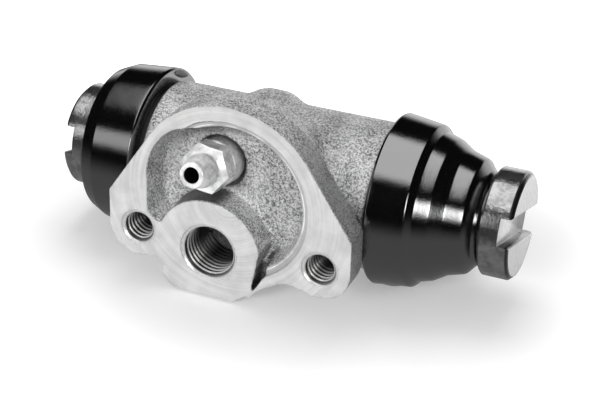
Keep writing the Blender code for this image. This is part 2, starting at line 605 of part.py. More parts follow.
def boot_rim(rim_gap):
    """The boot's bead and rim, from the inside of its skirt round to its outer edge, as (x, radius, round) corners."""
    rim_x = BARREL_HALF_LENGTH + rim_gap
    groove = BARREL_HALF_LENGTH + BOOT_GROOVE_START
    bead_radius = SPIGOT_RADIUS - BOOT_GROOVE_DEPTH + SEAT_GAP
    bore_radius = SPIGOT_RADIUS + SEAT_GAP
    bead_end = groove + BOOT_GROOVE_WIDTH - SEAT_GAP
    skirt_inside = BARREL_HALF_LENGTH + SPIGOT_LENGTH - BOOT_WALL
    return [(skirt_inside, bore_radius + BOOT_WALL / 2, 0), (bead_end + SEAT_GAP, bore_radius, 0),
            (bead_end, bead_radius, 0), (groove + SEAT_GAP, bead_radius, 0), (groove, bore_radius, 0),
            (rim_x, bore_radius, 0), (rim_x, BOOT_RIM_RADIUS - BOOT_RIM_CHAMFER, 0),
            (rim_x + BOOT_RIM_CHAMFER, BOOT_RIM_RADIUS, 0)]


def boot_profile(lip_out, rim_gap, inner_wall, outer_wall):
    """Half section of a boot: a lip in the piston's neck, the inside of the wall, the rim, and the outside."""
    lip_in = lip_out - BOOT_LIP_LENGTH
    lip_radius = PISTON_NECK_RADIUS + SEAT_GAP
    return rounded([(lip_in, lip_radius, 0), (lip_in, lip_radius + BOOT_LIP_HEIGHT, 0)] + wall(inner_wall)
                   + boot_rim(rim_gap) + wall(outer_wall) + [(lip_out, lip_radius, 0)])


def boot(name, side, profile, tab_turn, finish):
    """A boot with a small round tab moulded on its rim."""
    made = turned(name, profile, finish)
    turn_to(made, Vector((0, 0, 0)), X_AXIS * side)
    bm = bmesh.new()
    tab_x = side * (BARREL_HALF_LENGTH + TAB_FROM_BARREL)
    bmesh.ops.create_cone(bm, cap_ends=True, segments=SIDES_SMALL, radius1=TAB_RADIUS, radius2=TAB_RADIUS,
                          depth=TAB_TOP - TAB_BASE, matrix=Matrix.Translation((tab_x, 0, (TAB_TOP + TAB_BASE) / 2)))
    tab = object_from_bmesh(f"{name}_tab", bm)
    tab.matrix_world = Matrix.Rotation(tab_turn, 4, 'X')
    combine(made, tab, 'UNION')
    return made


def move_origin_to_face():
    """Moves every piece and cutter along Y so that the mounting face comes to lie on the origin."""
    for made in bpy.data.objects:
        if made.parent is None:
            made.location.y -= FACE_Y


def build():
    clear_scene()
    cast = material("cast_metal", (0.42, 0.42, 0.42), 0.6, 0.6)
    plated = material("plated_steel", (0.72, 0.72, 0.72), 0.28, 1.0)
    screw_steel = material("screw_steel", (0.8, 0.8, 0.8), 0.2, 1.0)
    spring_steel = material("spring_steel", (0.35, 0.35, 0.36), 0.35, 1.0)
    rubber = material("boot_rubber", (0.015, 0.015, 0.016), 0.25, 0.0)
    seal = material("seal_rubber", (0.02, 0.02, 0.02), 0.5, 0.0)

    housing(cast)
    bleed_screw(screw_steel)
    for name, side, end, slot_turn in (("left", -1, LEFT_PISTON_END, LEFT_SLOT_TURN),
                                       ("right", 1, RIGHT_PISTON_END, RIGHT_SLOT_TURN)):
        piston(f"{name}_piston", side, end, slot_turn, plated)
        cup(f"{name}_cup", side, end, seal)
        spring_seat(f"{name}_spring_seat", side, end, spring_steel)
    spring(spring_steel)
    left_lip = LEFT_PISTON_END - PISTON_HEAD_LENGTH - LEFT_BOOT_LIP_FROM_HEAD
    right_lip = RIGHT_PISTON_END - PISTON_HEAD_LENGTH - RIGHT_BOOT_LIP_FROM_HEAD
    boot("left_boot", -1, boot_profile(left_lip, LEFT_BOOT_RIM_GAP, PRESSED_INNER_WALL_MM, PRESSED_OUTER_WALL_MM),
         LEFT_TAB_TURN, rubber)
    boot("right_boot", 1, boot_profile(right_lip, RIGHT_BOOT_RIM_GAP, STRETCHED_INNER_WALL_MM, STRETCHED_OUTER_WALL_MM),
         RIGHT_TAB_TURN, rubber)
    move_origin_to_face()


build()
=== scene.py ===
"""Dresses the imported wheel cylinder: a cast housing with machined faces and threads, plated pistons, glossy
rubber boots, a bright bleed screw, and the seals and spring inside, on a white studio floor.

Everything is in metres. The bore runs along X, the flange faces -Y and the bleed screw stands above the port.
Each piece is worked out with the bore's axis through the origin, then moved by BORE_Y so that the mounting
face lies on the origin, as it does in the part's own frame.
"""

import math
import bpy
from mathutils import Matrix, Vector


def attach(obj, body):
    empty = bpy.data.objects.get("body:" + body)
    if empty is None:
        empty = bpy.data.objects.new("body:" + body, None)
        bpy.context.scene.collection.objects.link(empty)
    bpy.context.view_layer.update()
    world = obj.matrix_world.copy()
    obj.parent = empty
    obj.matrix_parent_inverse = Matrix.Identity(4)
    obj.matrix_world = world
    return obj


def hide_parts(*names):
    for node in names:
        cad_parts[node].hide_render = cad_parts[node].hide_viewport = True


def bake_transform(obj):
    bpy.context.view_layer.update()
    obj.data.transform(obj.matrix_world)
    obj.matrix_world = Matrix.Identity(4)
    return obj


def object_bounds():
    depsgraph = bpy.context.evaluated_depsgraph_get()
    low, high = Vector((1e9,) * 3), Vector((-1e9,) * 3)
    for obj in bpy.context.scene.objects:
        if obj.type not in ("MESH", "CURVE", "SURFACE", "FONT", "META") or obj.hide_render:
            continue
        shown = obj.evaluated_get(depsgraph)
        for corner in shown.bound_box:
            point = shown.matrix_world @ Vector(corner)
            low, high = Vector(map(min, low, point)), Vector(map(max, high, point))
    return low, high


bl_info = {
    "name": "Wheel Cylinder",
    "version": (1, 0, 0),
    "blender": (4, 5, 0),
    "location": "View3D > Sidebar > Wheel Cylinder",
    "description": "Makes the pieces and finishes of a hydraulic wheel cylinder",
    "category": "Object",
}

import bpy
import numpy as np
from bpy.props import FloatProperty, FloatVectorProperty, IntProperty, PointerProperty
from mathutils import Matrix, Vector

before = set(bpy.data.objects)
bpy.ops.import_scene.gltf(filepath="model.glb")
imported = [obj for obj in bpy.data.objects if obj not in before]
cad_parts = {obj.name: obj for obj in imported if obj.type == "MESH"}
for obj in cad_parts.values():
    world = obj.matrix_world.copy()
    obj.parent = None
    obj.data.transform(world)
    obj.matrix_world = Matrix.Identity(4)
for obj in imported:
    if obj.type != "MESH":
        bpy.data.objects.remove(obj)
CAD_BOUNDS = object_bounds()
MM = 0.001
BORE_Y = 21.5 * MM

# Forms of the casting that the settings leave alone. Depths are measured from the mounting face.
NECK_RADIUS = 15.6 * MM
NECK_TAPER = 0.254
NECK_END_Y = -6 * MM
COLUMN_RADIUS = 4.3 * MM
BOSS_DEPTH = 14.5 * MM
SLIVER_DEPTH = 3.5 * MM
RECESS_WALL_SCALES = (0.93, 1.0)
RECESS_STEP_SCALES = (1.0, 0.95)
PORT_HOLE_RADIUS = 5.25 * MM
PORT_DEPTH = 10.2 * MM
FEED_RADIUS = 1.0 * MM
FEED_DEPTH = 16.0 * MM
SCREW_HOLE_RADIUS = 3.25 * MM
SCREW_HOLE_DEPTH = 10.4 * MM

# Threads, bleed screw, spring, the boots' tabs and the floor
THREAD_INSET = 0.02 * MM
SLEEVE_WALL = 0.35 * MM
DRILLING_RADIUS = 1.4 * MM
SPRING_RADIUS = 4.9 * MM
WIRE_RADIUS = 0.5 * MM
SPRING_TURNS = 7.5
TAB_RADIUS = 2.9 * MM
TAB_HALF_HEIGHT = 0.85 * MM
TAB_AT = (24.0 * MM, 14.15 * MM)
FLOOR_GAP = 0.05 * MM


def length(label, millimetres, description):
    """A length in a settings group, given in millimetres and kept in metres."""
    return FloatProperty(name=label, description=description, default=millimetres * MM, unit='LENGTH', precision=5)


def angle(label, degrees, description):
    return FloatProperty(name=label, description=description, default=math.radians(degrees), subtype='ANGLE')


def share(label, value, description):
    return FloatProperty(name=label, description=description, default=value, min=0.0, max=1.0, subtype='FACTOR')


def colour(label, values, description):
    return FloatVectorProperty(name=label, description=description, default=values, size=3, min=0.0, max=1.0,
                               subtype='COLOR')


class CastingSettings(bpy.types.PropertyGroup):
    barrel_radius: length("Barrel radius", 13.1, "Radius of the cast barrel")
    barrel_half: length("Half barrel", 21.4, "Distance from the middle to the barrel's shoulder")
    spigot_radius: length("Spigot radius", 11.9, "Radius of the turned ends that carry the boots")
    spigot_length: length("Spigot length", 5.8, "Length of each turned end")
    bore_radius: length("Bore radius", 9.525, "Radius of the bore")
    band_radius: length("Band radius", 12.1, "Radius of the rounded band over the barrel")
    band_x: length("Band position", -2.7, "Middle of the band along the barrel")
    band_half: length("Half band", 4.4, "Half the band's width")
    band_rise: length("Band rise", 2.6, "How far the band's axis lies above the bore's")
    face_y: length("Mounting face", -21.5, "Where the machined mounting face lies along Y")
    plate_thickness: length("Flange thickness", 5.8, "Thickness of the flange")
    ring_z: length("Ring height", 4.3, "Height of the flange ring's centre above the bore")
    ring_radius: length("Ring radius", 17.3, "Radius of the flange's round top")
    corner_z: length("Corner height", 1.7, "Height of the flange's outer corners")
    lobe_x: length("Lobe distance", 17.0, "Distance of each screw lobe from the middle")
    lobe_z: length("Lobe height", -4.5, "Height of the screw lobes")
    lobe_radius: length("Lobe radius", 5.5, "Radius of the screw lobes")
    recess_radius: length("Recess radius", 14.6, "Radius of the step at the recess's mouth")
    recess_reach: length("Recess reach", 15.2, "How far the recess reaches to the left")
    recess_depth: length("Recess depth", 5.4, "Depth of the recess's floor")
    recess_draft: FloatProperty(name="Recess draft", description="How fast the recess's walls close in with depth",
                                default=0.21, min=0.0)
    step_depth: length("Step depth", 0.9, "Depth of the turned step round the recess")
    port_x: length("Port position", -3.5, "Position of the pipe port along X")
    port_z: length("Port height", -6.2, "Height of the pipe port")
    port_boss_radius: length("Port boss radius", 9.7, "Radius of the port's boss")
    fillet: length("Fillet", 2.0, "How softly the cast forms run into each other")
    mesh_step: length("Mesh step", 0.34, "Spacing of the points from which the casting's surface is worked out")
    cast_colour: colour("Cast metal", (0.74, 0.74, 0.74), "Colour of the rough casting")
    cut_colour: colour("Machined metal", (0.6, 0.6, 0.6), "Colour of the machined faces")


class ThreadSettings(bpy.types.PropertyGroup):
    port_radius: length("Port thread radius", 5.0, "Outer radius of the port's thread")
    port_pitch: length("Port pitch", 1.0, "Distance between the crests of the port's thread")
    port_depth: length("Port thread depth", 9.4, "How deep the port's thread runs")
    screw_radius: length("Screw thread radius", 3.0, "Outer radius of the threads in the lobes")
    screw_pitch: length("Screw pitch", 1.0, "Distance between the crests in the lobes")
    screw_depth: length("Screw thread depth", 9.6, "How deep the lobes' threads run")
    height: share("Thread height", 0.58, "Height of a thread as a share of its pitch")
    thread_colour: colour("Thread metal", (0.55, 0.55, 0.55), "Colour of the cut threads")


class BleedSettings(bpy.types.PropertyGroup):
    x: length("Position", -3.6, "Position of the bleed screw along X")
    seat_y: length("Seat depth", -16.1, "Where the screw's seat lies along Y")
    seat_z: length("Seat height", 9.0, "Height of the screw's seat")
    tilt: angle("Tilt", 11.4, "How far the screw leans upwards")
    pocket_depth: length("Pocket depth", 1.0, "Depth of the spot face round the screw")
    pocket_radius: length("Pocket radius", 4.6, "Radius of the spot face")
    collar_radius: length("Collar radius", 4.1, "Radius of the collar under the hexagon")
    across_flats: length("Across flats", 7.8, "Width of the hexagon")
    hexagon_turn: angle("Hexagon turn", 40.0, "How far the hexagon is turned about the screw's axis")
    length_out: length("Length", 11.7, "Length from the spot face's mouth to the tip")
    screw_colour: colour("Plated screw", (0.95, 0.95, 0.95), "Colour of the bleed screw")


class PistonSettings(bpy.types.PropertyGroup):
    radius: length("Piston radius", 9.475, "Radius of the pistons")
    length: length("Piston length", 26.0, "Length of each piston")
    head_length: length("Head length", 5.3, "Length of the slotted head")
    neck_length: length("Neck length", 5.4, "Length of the neck behind the head")
    neck_radius: length("Neck radius", 6.3, "Radius of the neck")
    chamfer: length("End chamfer", 0.75, "Chamfer round the head's end")
    slot_width: length("Slot width", 4.9, "Width of the slot across the head")
    slot_depth: length("Slot depth", 2.0, "Depth of the slot across the head")
    left_end: length("Left end", 39.0, "Distance from the middle to the left piston's end")
    right_end: length("Right end", 45.4, "Distance from the middle to the right piston's end")
    left_slot_turn: angle("Left slot turn", -15.5, "How far the left piston's slot is turned about the bore")
    right_slot_turn: angle("Right slot turn", -17.0, "How far the right piston's slot is turned about the bore")
    face_colour: colour("End faces", (0.95, 0.95, 0.95), "Colour of the pistons' end faces and slots")
    plating_colour: colour("Plating", (0.36, 0.36, 0.36), "Colour of the pistons' turned sides")


class BootSettings(bpy.types.PropertyGroup):
    left_rim: length("Left rim", 22.3, "Distance from the middle to the left boot's rim")
    right_rim: length("Right rim", 21.7, "Distance from the middle to the right boot's rim")
    rim_radius: length("Rim radius", 15.2, "Radius of the boots' rims")
    segments: IntProperty(name="Segments", description="Faces round a boot", default=192, min=24)
    rubber_colour: colour("Rubber", (0.002, 0.002, 0.002), "Colour of the moulded rubber")
    seal_colour: colour("Seal rubber", (0.02, 0.02, 0.02), "Colour of the cups inside")
    steel_colour: colour("Spring steel", (0.36, 0.36, 0.37), "Colour of the spring and its seats")


class StageSettings(bpy.types.PropertyGroup):
    azimuth: angle("Camera azimuth", 24.0, "Where the camera stands round the part")
    elevation: angle("Camera elevation", 26.97, "How far the camera looks down")
    roll: angle("Camera roll", 0.95, "How far the camera is turned about its own axis")
    distance: length("Camera distance", 288.28, "Distance from the aim point to the camera")
    aim_x: length("Aim X", -4.76, "Aim point along X")
    aim_z: length("Aim Z", -1.26, "Aim point along Z")
    focal_ratio: FloatProperty(name="Focal ratio", description="Focal length as a share of the picture's width",
                               default=2.6542)
    shift_x: FloatProperty(name="Shift X", description="Sideways shift of the lens", default=0.0777)
    shift_y: FloatProperty(name="Shift Y", description="Upward shift of the lens", default=-0.0433)
    floor_colour: colour("Floor", (0.86, 0.86, 0.86), "Colour of the studio floor")


# Shapes as arrays of points


def corners_from(origin, rows):
    """Corners (x, r, rounding) of a profile, given in millimetres with x counted from an origin in metres."""
    return [(origin + x * MM, r * MM, rounding * MM) for x, r, rounding in rows]


def full_turn(count):
    """Evenly spaced angles round a circle, in radians."""
    return np.linspace(0, math.tau, count, endpoint=False)


def about_x(x, r, turn):
    """The point at angle t about X: (x, -r cos t, r sin t)."""
    return np.stack([x, -r * np.cos(turn), r * np.sin(turn)], axis=-1)


def arc(centre, radius, start, end, count):
    """Points on a circle: centre plus radius times (cosine, sine) of evenly spaced angles in degrees."""
    turn = np.radians(np.linspace(start, end, count))
    return np.stack([centre[0] + radius * np.cos(turn), centre[1] + radius * np.sin(turn)], axis=1)


def unit(vector):
    return vector / np.linalg.norm(vector)


def soften(corners, steps=6):
    """Replaces each corner (a, b, radius) of a line by an arc that touches both of its sides.

    With h for half the angle between the sides, the arc's middle lies radius / sin h along the line that
    halves the angle, and the arc touches each side radius / tan h from the corner.
    """
    rows = np.array(corners, dtype=float)
    places = rows[:, :2]
    points = [places[0]]
    for before, here, after, radius in zip(places, places[1:], places[2:], rows[1:, 2]):
        if radius == 0:
            points.append(here)
            continue
        back, ahead = unit(before - here), unit(after - here)
        half = math.acos(np.clip(back @ ahead, -1, 1)) / 2
        middle = here + unit(back + ahead) * radius / math.sin(half)
        first = here + back * radius / math.tan(half) - middle
        last = here + ahead * radius / math.tan(half) - middle
        turn = math.atan2(first[0] * last[1] - first[1] * last[0], first @ last)
        begin = math.atan2(first[1], first[0])
        points.extend(arc(middle, radius, math.degrees(begin), math.degrees(begin + turn), steps))
    return np.array(points + [places[-1]])


def resample(points, step):
    """Adds points along each straight stretch so that none is longer than a step."""
    rows = []
    for here, after in zip(points, points[1:]):
        count = max(1, math.ceil(np.linalg.norm(after - here) / step))
        rows.append(here + (after - here) * np.arange(count)[:, None] / count)
    return np.concatenate(rows + [points[-1:]])


def mesh_object(name, vertices, faces, finish, crease=35):
    """Puts arrays of points and triangles into a mesh object, leaving out unused points."""
    used, corners = np.unique(faces, return_inverse=True)
    mesh = bpy.data.meshes.new(name)
    mesh.vertices.add(len(used))
    mesh.vertices.foreach_set("co", vertices[used].astype(np.float32).ravel())
    mesh.loops.add(corners.size)
    mesh.loops.foreach_set("vertex_index", corners.ravel().astype(np.int32))
    mesh.polygons.add(len(faces))
    mesh.polygons.foreach_set("loop_start", np.arange(0, corners.size, faces.shape[1], dtype=np.int32))
    mesh.update(calc_edges=True)
    mesh.validate()
    mesh.shade_smooth()
    mesh.set_sharp_from_angle(angle=math.radians(crease))
    mesh.materials.append(finish)
    made = bpy.data.objects.new(name, mesh)
    bpy.context.scene.collection.objects.link(made)
    return made


def surface(name, points, finish, closed_rows=False, crease=35):
    """A closed surface of triangles over a grid of points whose columns close, facing outwards.

    Its rows close too, or end in poles: a row that shrinks to one point becomes a pole.
    """
    rows, columns = points.shape[:2]
    index = np.arange(rows * columns).reshape(rows, columns)
    pole = np.ptp(points, axis=1).max(axis=1) < 1e-9
    index[pole] = index[pole][:, :1]
    a = index if closed_rows else index[:-1]
    d = np.roll(index, -1, axis=0) if closed_rows else index[1:]
    b, c = np.roll(a, -1, axis=1), np.roll(d, -1, axis=1)
    faces = np.concatenate([np.stack(corners, axis=-1).reshape(-1, 3) for corners in ((a, b, c), (a, c, d))])
    faces = faces[np.all(faces != np.roll(faces, 1, axis=1), axis=1)]
    vertices = points.reshape(-1, 3)
    a, b, c = (vertices[faces[:, i]] for i in range(3))
    if np.einsum('ij,ij->i', a, np.cross(b, c)).sum() < 0:
        faces = faces[:, ::-1]
    return mesh_object(name, vertices, faces, finish, crease)


def turned(name, profile, finish, closed=False, segments=160, reshape=None, side=1, crease=35):
    """A profile of (x, r) carried round the bore's axis.

    reshape(x, r, t) gives a new radius where a form isn't round. side -1 turns the form to face -X.
    """
    turn = full_turn(segments)
    x, r = (np.repeat(column[:, None], segments, axis=1) for column in profile.T)
    if reshape is not None:
        r = reshape(x, r, turn)
    return surface(name, about_x(x * side, r, turn), finish, closed, crease)


def place(made, origin, direction):
    """Moves a form that was made about X so that its +X lies along a direction, in its mesh."""
    turn = Vector((1, 0, 0)).rotation_difference(Vector(direction)).to_matrix().to_4x4()
    made.data.transform(Matrix.Translation(origin) @ turn)
    made.data.update()


def cut(made, tool):
    """Cuts one closed form out of another and removes the tool."""
    step = made.modifiers.new("cut", 'BOOLEAN')
    step.operation = 'DIFFERENCE'
    step.solver = 'EXACT'
    step.object = tool
    apply_modifiers(made)
    bpy.data.objects.remove(tool, do_unlink=True)


def apply_modifiers(made):
    """Gives an object the mesh that its modifiers make, and clears them."""
    bpy.context.view_layer.update()
    shaped = made.evaluated_get(bpy.context.evaluated_depsgraph_get())
    mesh = bpy.data.meshes.new_from_object(shaped)
    made.modifiers.clear()
    made.data = mesh


def read_rows(items, name):
    """A vector from each item of a mesh's collection, as rows."""
    values = np.empty(len(items) * 3)
    items.foreach_get(name, values)
    return values.reshape(-1, 3)


def mark_points(made, name, values):
    """Gives each point of an object a number, which the object's finish reads."""
    made.data.attributes.new(name, 'FLOAT', 'POINT').data.foreach_set("value", values.astype(np.float32))


def into_frame(made):
    """Moves a piece from the bore's axis into the part's frame, in its mesh."""
    made.data.transform(Matrix.Translation((0, BORE_Y, 0)))
    made.data.update()
    return made


def carry(made, body, node):
    """Moves a piece into the frame; lets it ride on a body and stand for a CAD node."""
    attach(into_frame(made), body)
    if node:
        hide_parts(node)


def stretch(made, side, start, end, slot):
    """Moves a piece into the frame and bakes that into its mesh. side, start, end and slot are not used."""
    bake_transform(into_frame(made))


# Distances, from which the casting's surface is worked out


def join(a, b, softness):
    """Union of two solids given as signed distances; the crease between them is filled within a softness."""
    blend = np.clip(0.5 + 0.5 * (b - a) / softness, 0, 1)
    return b * (1 - blend) + a * blend - softness * blend * (1 - blend)


def remove(a, b, softness):
    """Solid a without solid b, with the edge rounded within a softness."""
    return -join(-a, b, softness)


def drum(along, across, half, radius, rounding):
    """Signed distance from a cylinder with rounded rims: along its axis and across it."""
    over = across - radius + rounding
    past = np.abs(along) - half + rounding
    return np.minimum(np.maximum(over, past), 0) + np.hypot(np.maximum(over, 0), np.maximum(past, 0)) - rounding


def outline_distance(outline, across, up):
    """Signed distance from a closed outline in a plane, negative inside: the least distance to its sides."""
    nearest = np.full(np.broadcast(across, up).shape, np.inf)
    inside = np.zeros(nearest.shape, dtype=bool)
    for (ax, az), (bx, bz) in zip(outline, np.roll(outline, -1, axis=0)):
        dx, dz = bx - ax, bz - az
        part = np.clip(((across - ax) * dx + (up - az) * dz) / max(dx * dx + dz * dz, 1e-18), 0, 1)
        nearest = np.minimum(nearest, (across - ax - part * dx) ** 2 + (up - az - part * dz) ** 2)
        if dz != 0:
            inside ^= ((az > up) != (bz > up)) & (across < dx * (up - az) / dz + ax)
    return np.where(inside, -1, 1) * np.sqrt(nearest)


def flange_outline(s):
    """Front view of the flange: round top, slanted sides that touch it, two lobes and a web below."""
    hw = s.lobe_x + s.lobe_radius
    drop = s.corner_z - s.ring_z
    tangent = math.degrees(math.atan2(drop, hw) + math.acos(s.ring_radius / math.hypot(hw, drop)))
    web = np.array([[4.4, -13.2], [6.2, -11.2], [7.6, -9.9], [9.3, -9.1], [11.2, -8.7], [13.4, -9.2]]) * MM
    left = arc((-s.lobe_x, s.lobe_z), s.lobe_radius, 180, 290, 16)
    return np.concatenate([arc((0, s.ring_z), s.ring_radius, tangent, 180 - tangent, 40), [[-hw, s.corner_z]], left,
                           [[s.port_x, left[-1, 1]]], web, arc((s.lobe_x, s.lobe_z), s.lobe_radius, -121, 0, 16),
                           [[hw, s.corner_z]]])


def boss_outline(s):
    """Front view of the port's boss: round above, a flat right side, a level foot and a squarish corner."""
    x, z = s.port_x, s.port_z
    left, foot = x - 9.0 * MM, z - 8.7 * MM
    crown = arc((x, z), s.port_boss_radius, 11.9, 158, 40)
    corner = soften([(left, z, 0), (left, foot, 3.4 * MM), (x, foot, 0)])
    return np.concatenate([crown, corner, [[x + 4.9 * MM, foot], [x + 7.9 * MM, z - 6.4 * MM]]])


def recess_outline(s, right_scale, left_scale):
    """Front view of the recess: round at the right and top, squarer at the left, open towards the boss.

    Each point is scaled about the ring's centre, by right_scale for x > -6 mm, by left_scale for x < -10 mm,
    and by an even mix between them.
    """
    ring = arc((0, s.ring_z), s.recess_radius, -62, 115, 48)
    last = ring[-1]
    top = last[1] - (s.recess_reach + last[0]) / math.tan(math.radians(65))
    side = soften([(*last, 0), (-s.recess_reach, top, 11.0 * MM), (-s.recess_reach, -1.4 * MM, 2.0 * MM),
                   (s.port_x - 4.5 * MM, -5.5 * MM, 0)], steps=12)
    outline = np.concatenate([ring, side[1:], [[s.port_x, s.port_z], [s.port_x + 4.9 * MM, ring[0, 1]]]])
    part = np.clip((-6 * MM - outline[:, :1]) / (4 * MM), 0, 1)
    return (outline - (0, s.ring_z)) * (right_scale + (left_scale - right_scale) * part) + (0, s.ring_z)


def casting_distance(s, b, x, y, z):
    """Signed distance from the whole casting: rough forms joined softly, then cut crisply by the machining."""
    out = np.hypot(y, z)
    depth = y - s.face_y
    lobes = [np.hypot(x - sign * s.lobe_x, z - s.lobe_z) for sign in (-1, 1)]
    behind_face = np.maximum(y - NECK_END_Y, s.face_y - MM - y)
    back = s.face_y + s.plate_thickness
    body = drum(x, out, s.barrel_half, s.barrel_radius, 0.8 * MM)
    band = drum(x - s.band_x, np.hypot(y - 0.8 * MM, z - s.band_rise), s.band_half, s.band_radius, 3.4 * MM)
    body = join(body, band, s.fillet)
    neck = np.hypot(x, z - s.ring_z) - NECK_RADIUS + (y - back + 0.5 * s.plate_thickness) * NECK_TAPER
    body = join(body, np.maximum(neck, behind_face), 1.5 * s.fillet)
    for lobe in lobes:
        body = join(body, np.maximum(lobe - COLUMN_RADIUS, behind_face), s.fillet)
    plate = drum(depth, outline_distance(flange_outline(s), x, z), s.plate_thickness, 0, 0.5 * MM)
    body = join(body, plate, 0.7 * s.fillet)

    wall = outline_distance(recess_outline(s, *RECESS_WALL_SCALES), x, z) + depth * s.recess_draft
    body = remove(body, remove(wall, s.recess_depth - depth, 1.4 * MM), 0.4 * MM)
    step = outline_distance(recess_outline(s, *RECESS_STEP_SCALES), x, z)
    body = np.maximum(body, -np.maximum(step, depth - s.step_depth))
    sliver = np.array([[6.9, -8.6], [6.9, -6.0], [-3.5, -6.0], [-3.5, -12.0], [4.9, -12.0]]) * MM
    body = remove(body, np.maximum(outline_distance(sliver, x, z), depth - SLIVER_DEPTH), 0.4 * MM)
    boss = drum(depth, outline_distance(boss_outline(s), x, z), BOSS_DEPTH, 0, 0.4 * MM)
    body = join(body, boss, 0.9 * MM)
    body = np.maximum(body, -depth)

    groove = drum(np.abs(x) - s.barrel_half - 3.4 * MM, -out, 1.2 * MM, -(s.spigot_radius - 1.0 * MM), 0)
    spigot = np.maximum(drum(x, out, s.barrel_half + s.spigot_length, s.spigot_radius, 0.3 * MM), -groove)
    body = np.minimum(body, spigot)
    mouths = np.maximum(0, np.abs(x) - s.barrel_half - s.spigot_length + 0.6 * MM)
    body = np.maximum(body, s.bore_radius + mouths - out)
    port = np.hypot(x - s.port_x, z - s.port_z)
    cone = PORT_DEPTH + np.clip(4.5 * MM - port, 0, 3.5 * MM) * 0.6
    body = np.maximum(body, np.minimum(PORT_HOLE_RADIUS - port, cone - depth))
    body = np.maximum(body, np.minimum(FEED_RADIUS - port, FEED_DEPTH - depth))
    for lobe in lobes:
        body = np.maximum(body, np.minimum(SCREW_HOLE_RADIUS - lobe, SCREW_HOLE_DEPTH - depth))
    return np.maximum(body, -bleed_cut(b, x, y, z))


def bleed_axis(b):
    return np.array([0, -math.cos(b.tilt), math.sin(b.tilt)])


def from_bleed_seat(b, x, y, z):
    """How far points lie from the bleed screw's seat, along its axis and across it."""
    axis = bleed_axis(b)
    along = (y - b.seat_y) * axis[1] + (z - b.seat_z) * axis[2]
    across = np.sqrt(np.maximum((x - b.x) ** 2 + (y - b.seat_y) ** 2 + (z - b.seat_z) ** 2 - along ** 2, 0))
    return along, across


def bleed_cut(b, x, y, z):
    """Signed distance from the tilted spot face, hole and drilling that take the bleed screw."""
    along, across = from_bleed_seat(b, x, y, z)
    cuts = ((b.pocket_radius, b.pocket_depth), (3.0 * MM, 6.0 * MM), (0.9 * MM, 14.0 * MM))
    spot, hole, drill = (np.maximum(across - radius, -deep - along) for radius, deep in cuts)
    return np.minimum(np.minimum(spot, hole), drill)


def painted_shade_amount(s, b, points, normals):
    """Painted shade for each point of the casting, from 0 to 1: how closed in it is under its own walls
    and the bleed screw.

    A probe leaves each point along its normal, leaning upwards. For each of two probe lengths, 1 less the
    free distance over the length is taken, and the two are averaged. The ledge over the port and the flange's
    right flank get more painted shade, following how far they face up or right. The spot face round the
    bleed screw and the insides of the holes count as fully closed in, so they are painted fully dark.
    """
    screw_radius, skin, hole_skin = 3.6 * MM, 0.3 * MM, 0.05 * MM
    lean = normals + (0, 0, 0.7)
    lean /= np.linalg.norm(lean, axis=1, keepdims=True)
    total = np.zeros(len(points))
    for reach in (1.4 * MM, 4.2 * MM):
        x, y, z = (points + lean * reach).T
        along, across = from_bleed_seat(b, x, y, z)
        past = along - np.clip(along, 0, b.length_out)
        screw = np.hypot(past, np.maximum(across - screw_radius, 0))
        free = np.minimum(casting_distance(s, b, x, y, z), screw)
        total += np.clip(1 - free / reach, 0, 1) / 2
    x, y, z = points.T
    depth, from_ring = y - s.face_y, np.hypot(x, z - s.ring_z)
    from_port = np.hypot(x - s.port_x, z - s.port_z)
    near_port = from_port < s.port_boss_radius + 0.8 * MM
    ledge = (depth > skin) & (from_ring < s.recess_radius - 1.5 * MM) & near_port
    flank = (depth > skin) & (depth < 12 * MM) & (from_ring > s.recess_radius + MM) & (x > 0)
    leftward = 1 - np.clip(normals[:, 0] * 2.5 - 0.2, 0, 1)
    upward = np.clip(normals[:, 2] * 1.1 + 0.15, 0, 0.95)
    # Painted shade on the ledge over the port and on the flange's right flank, by how far they face up or right.
    total = np.where(ledge, np.maximum(total * 0.75, leftward * upward), total)
    total = np.where(flank, np.maximum(total, np.clip(normals[:, 0] * 1.2 - 0.25, 0, 0.62)), total)
    from_lobe = np.hypot(np.abs(x) - s.lobe_x, z - s.lobe_z)
    holes = (from_port < PORT_HOLE_RADIUS + hole_skin) | (from_lobe < SCREW_HOLE_RADIUS + hole_skin)
    holes &= (depth > 2 * MM) & (depth < FEED_DEPTH + MM)
    # The spot face round the bleed screw and the holes' insides get full painted shade.
    return np.where((bleed_cut(b, x, y, z) < 0.12 * MM) | holes, 1, total)


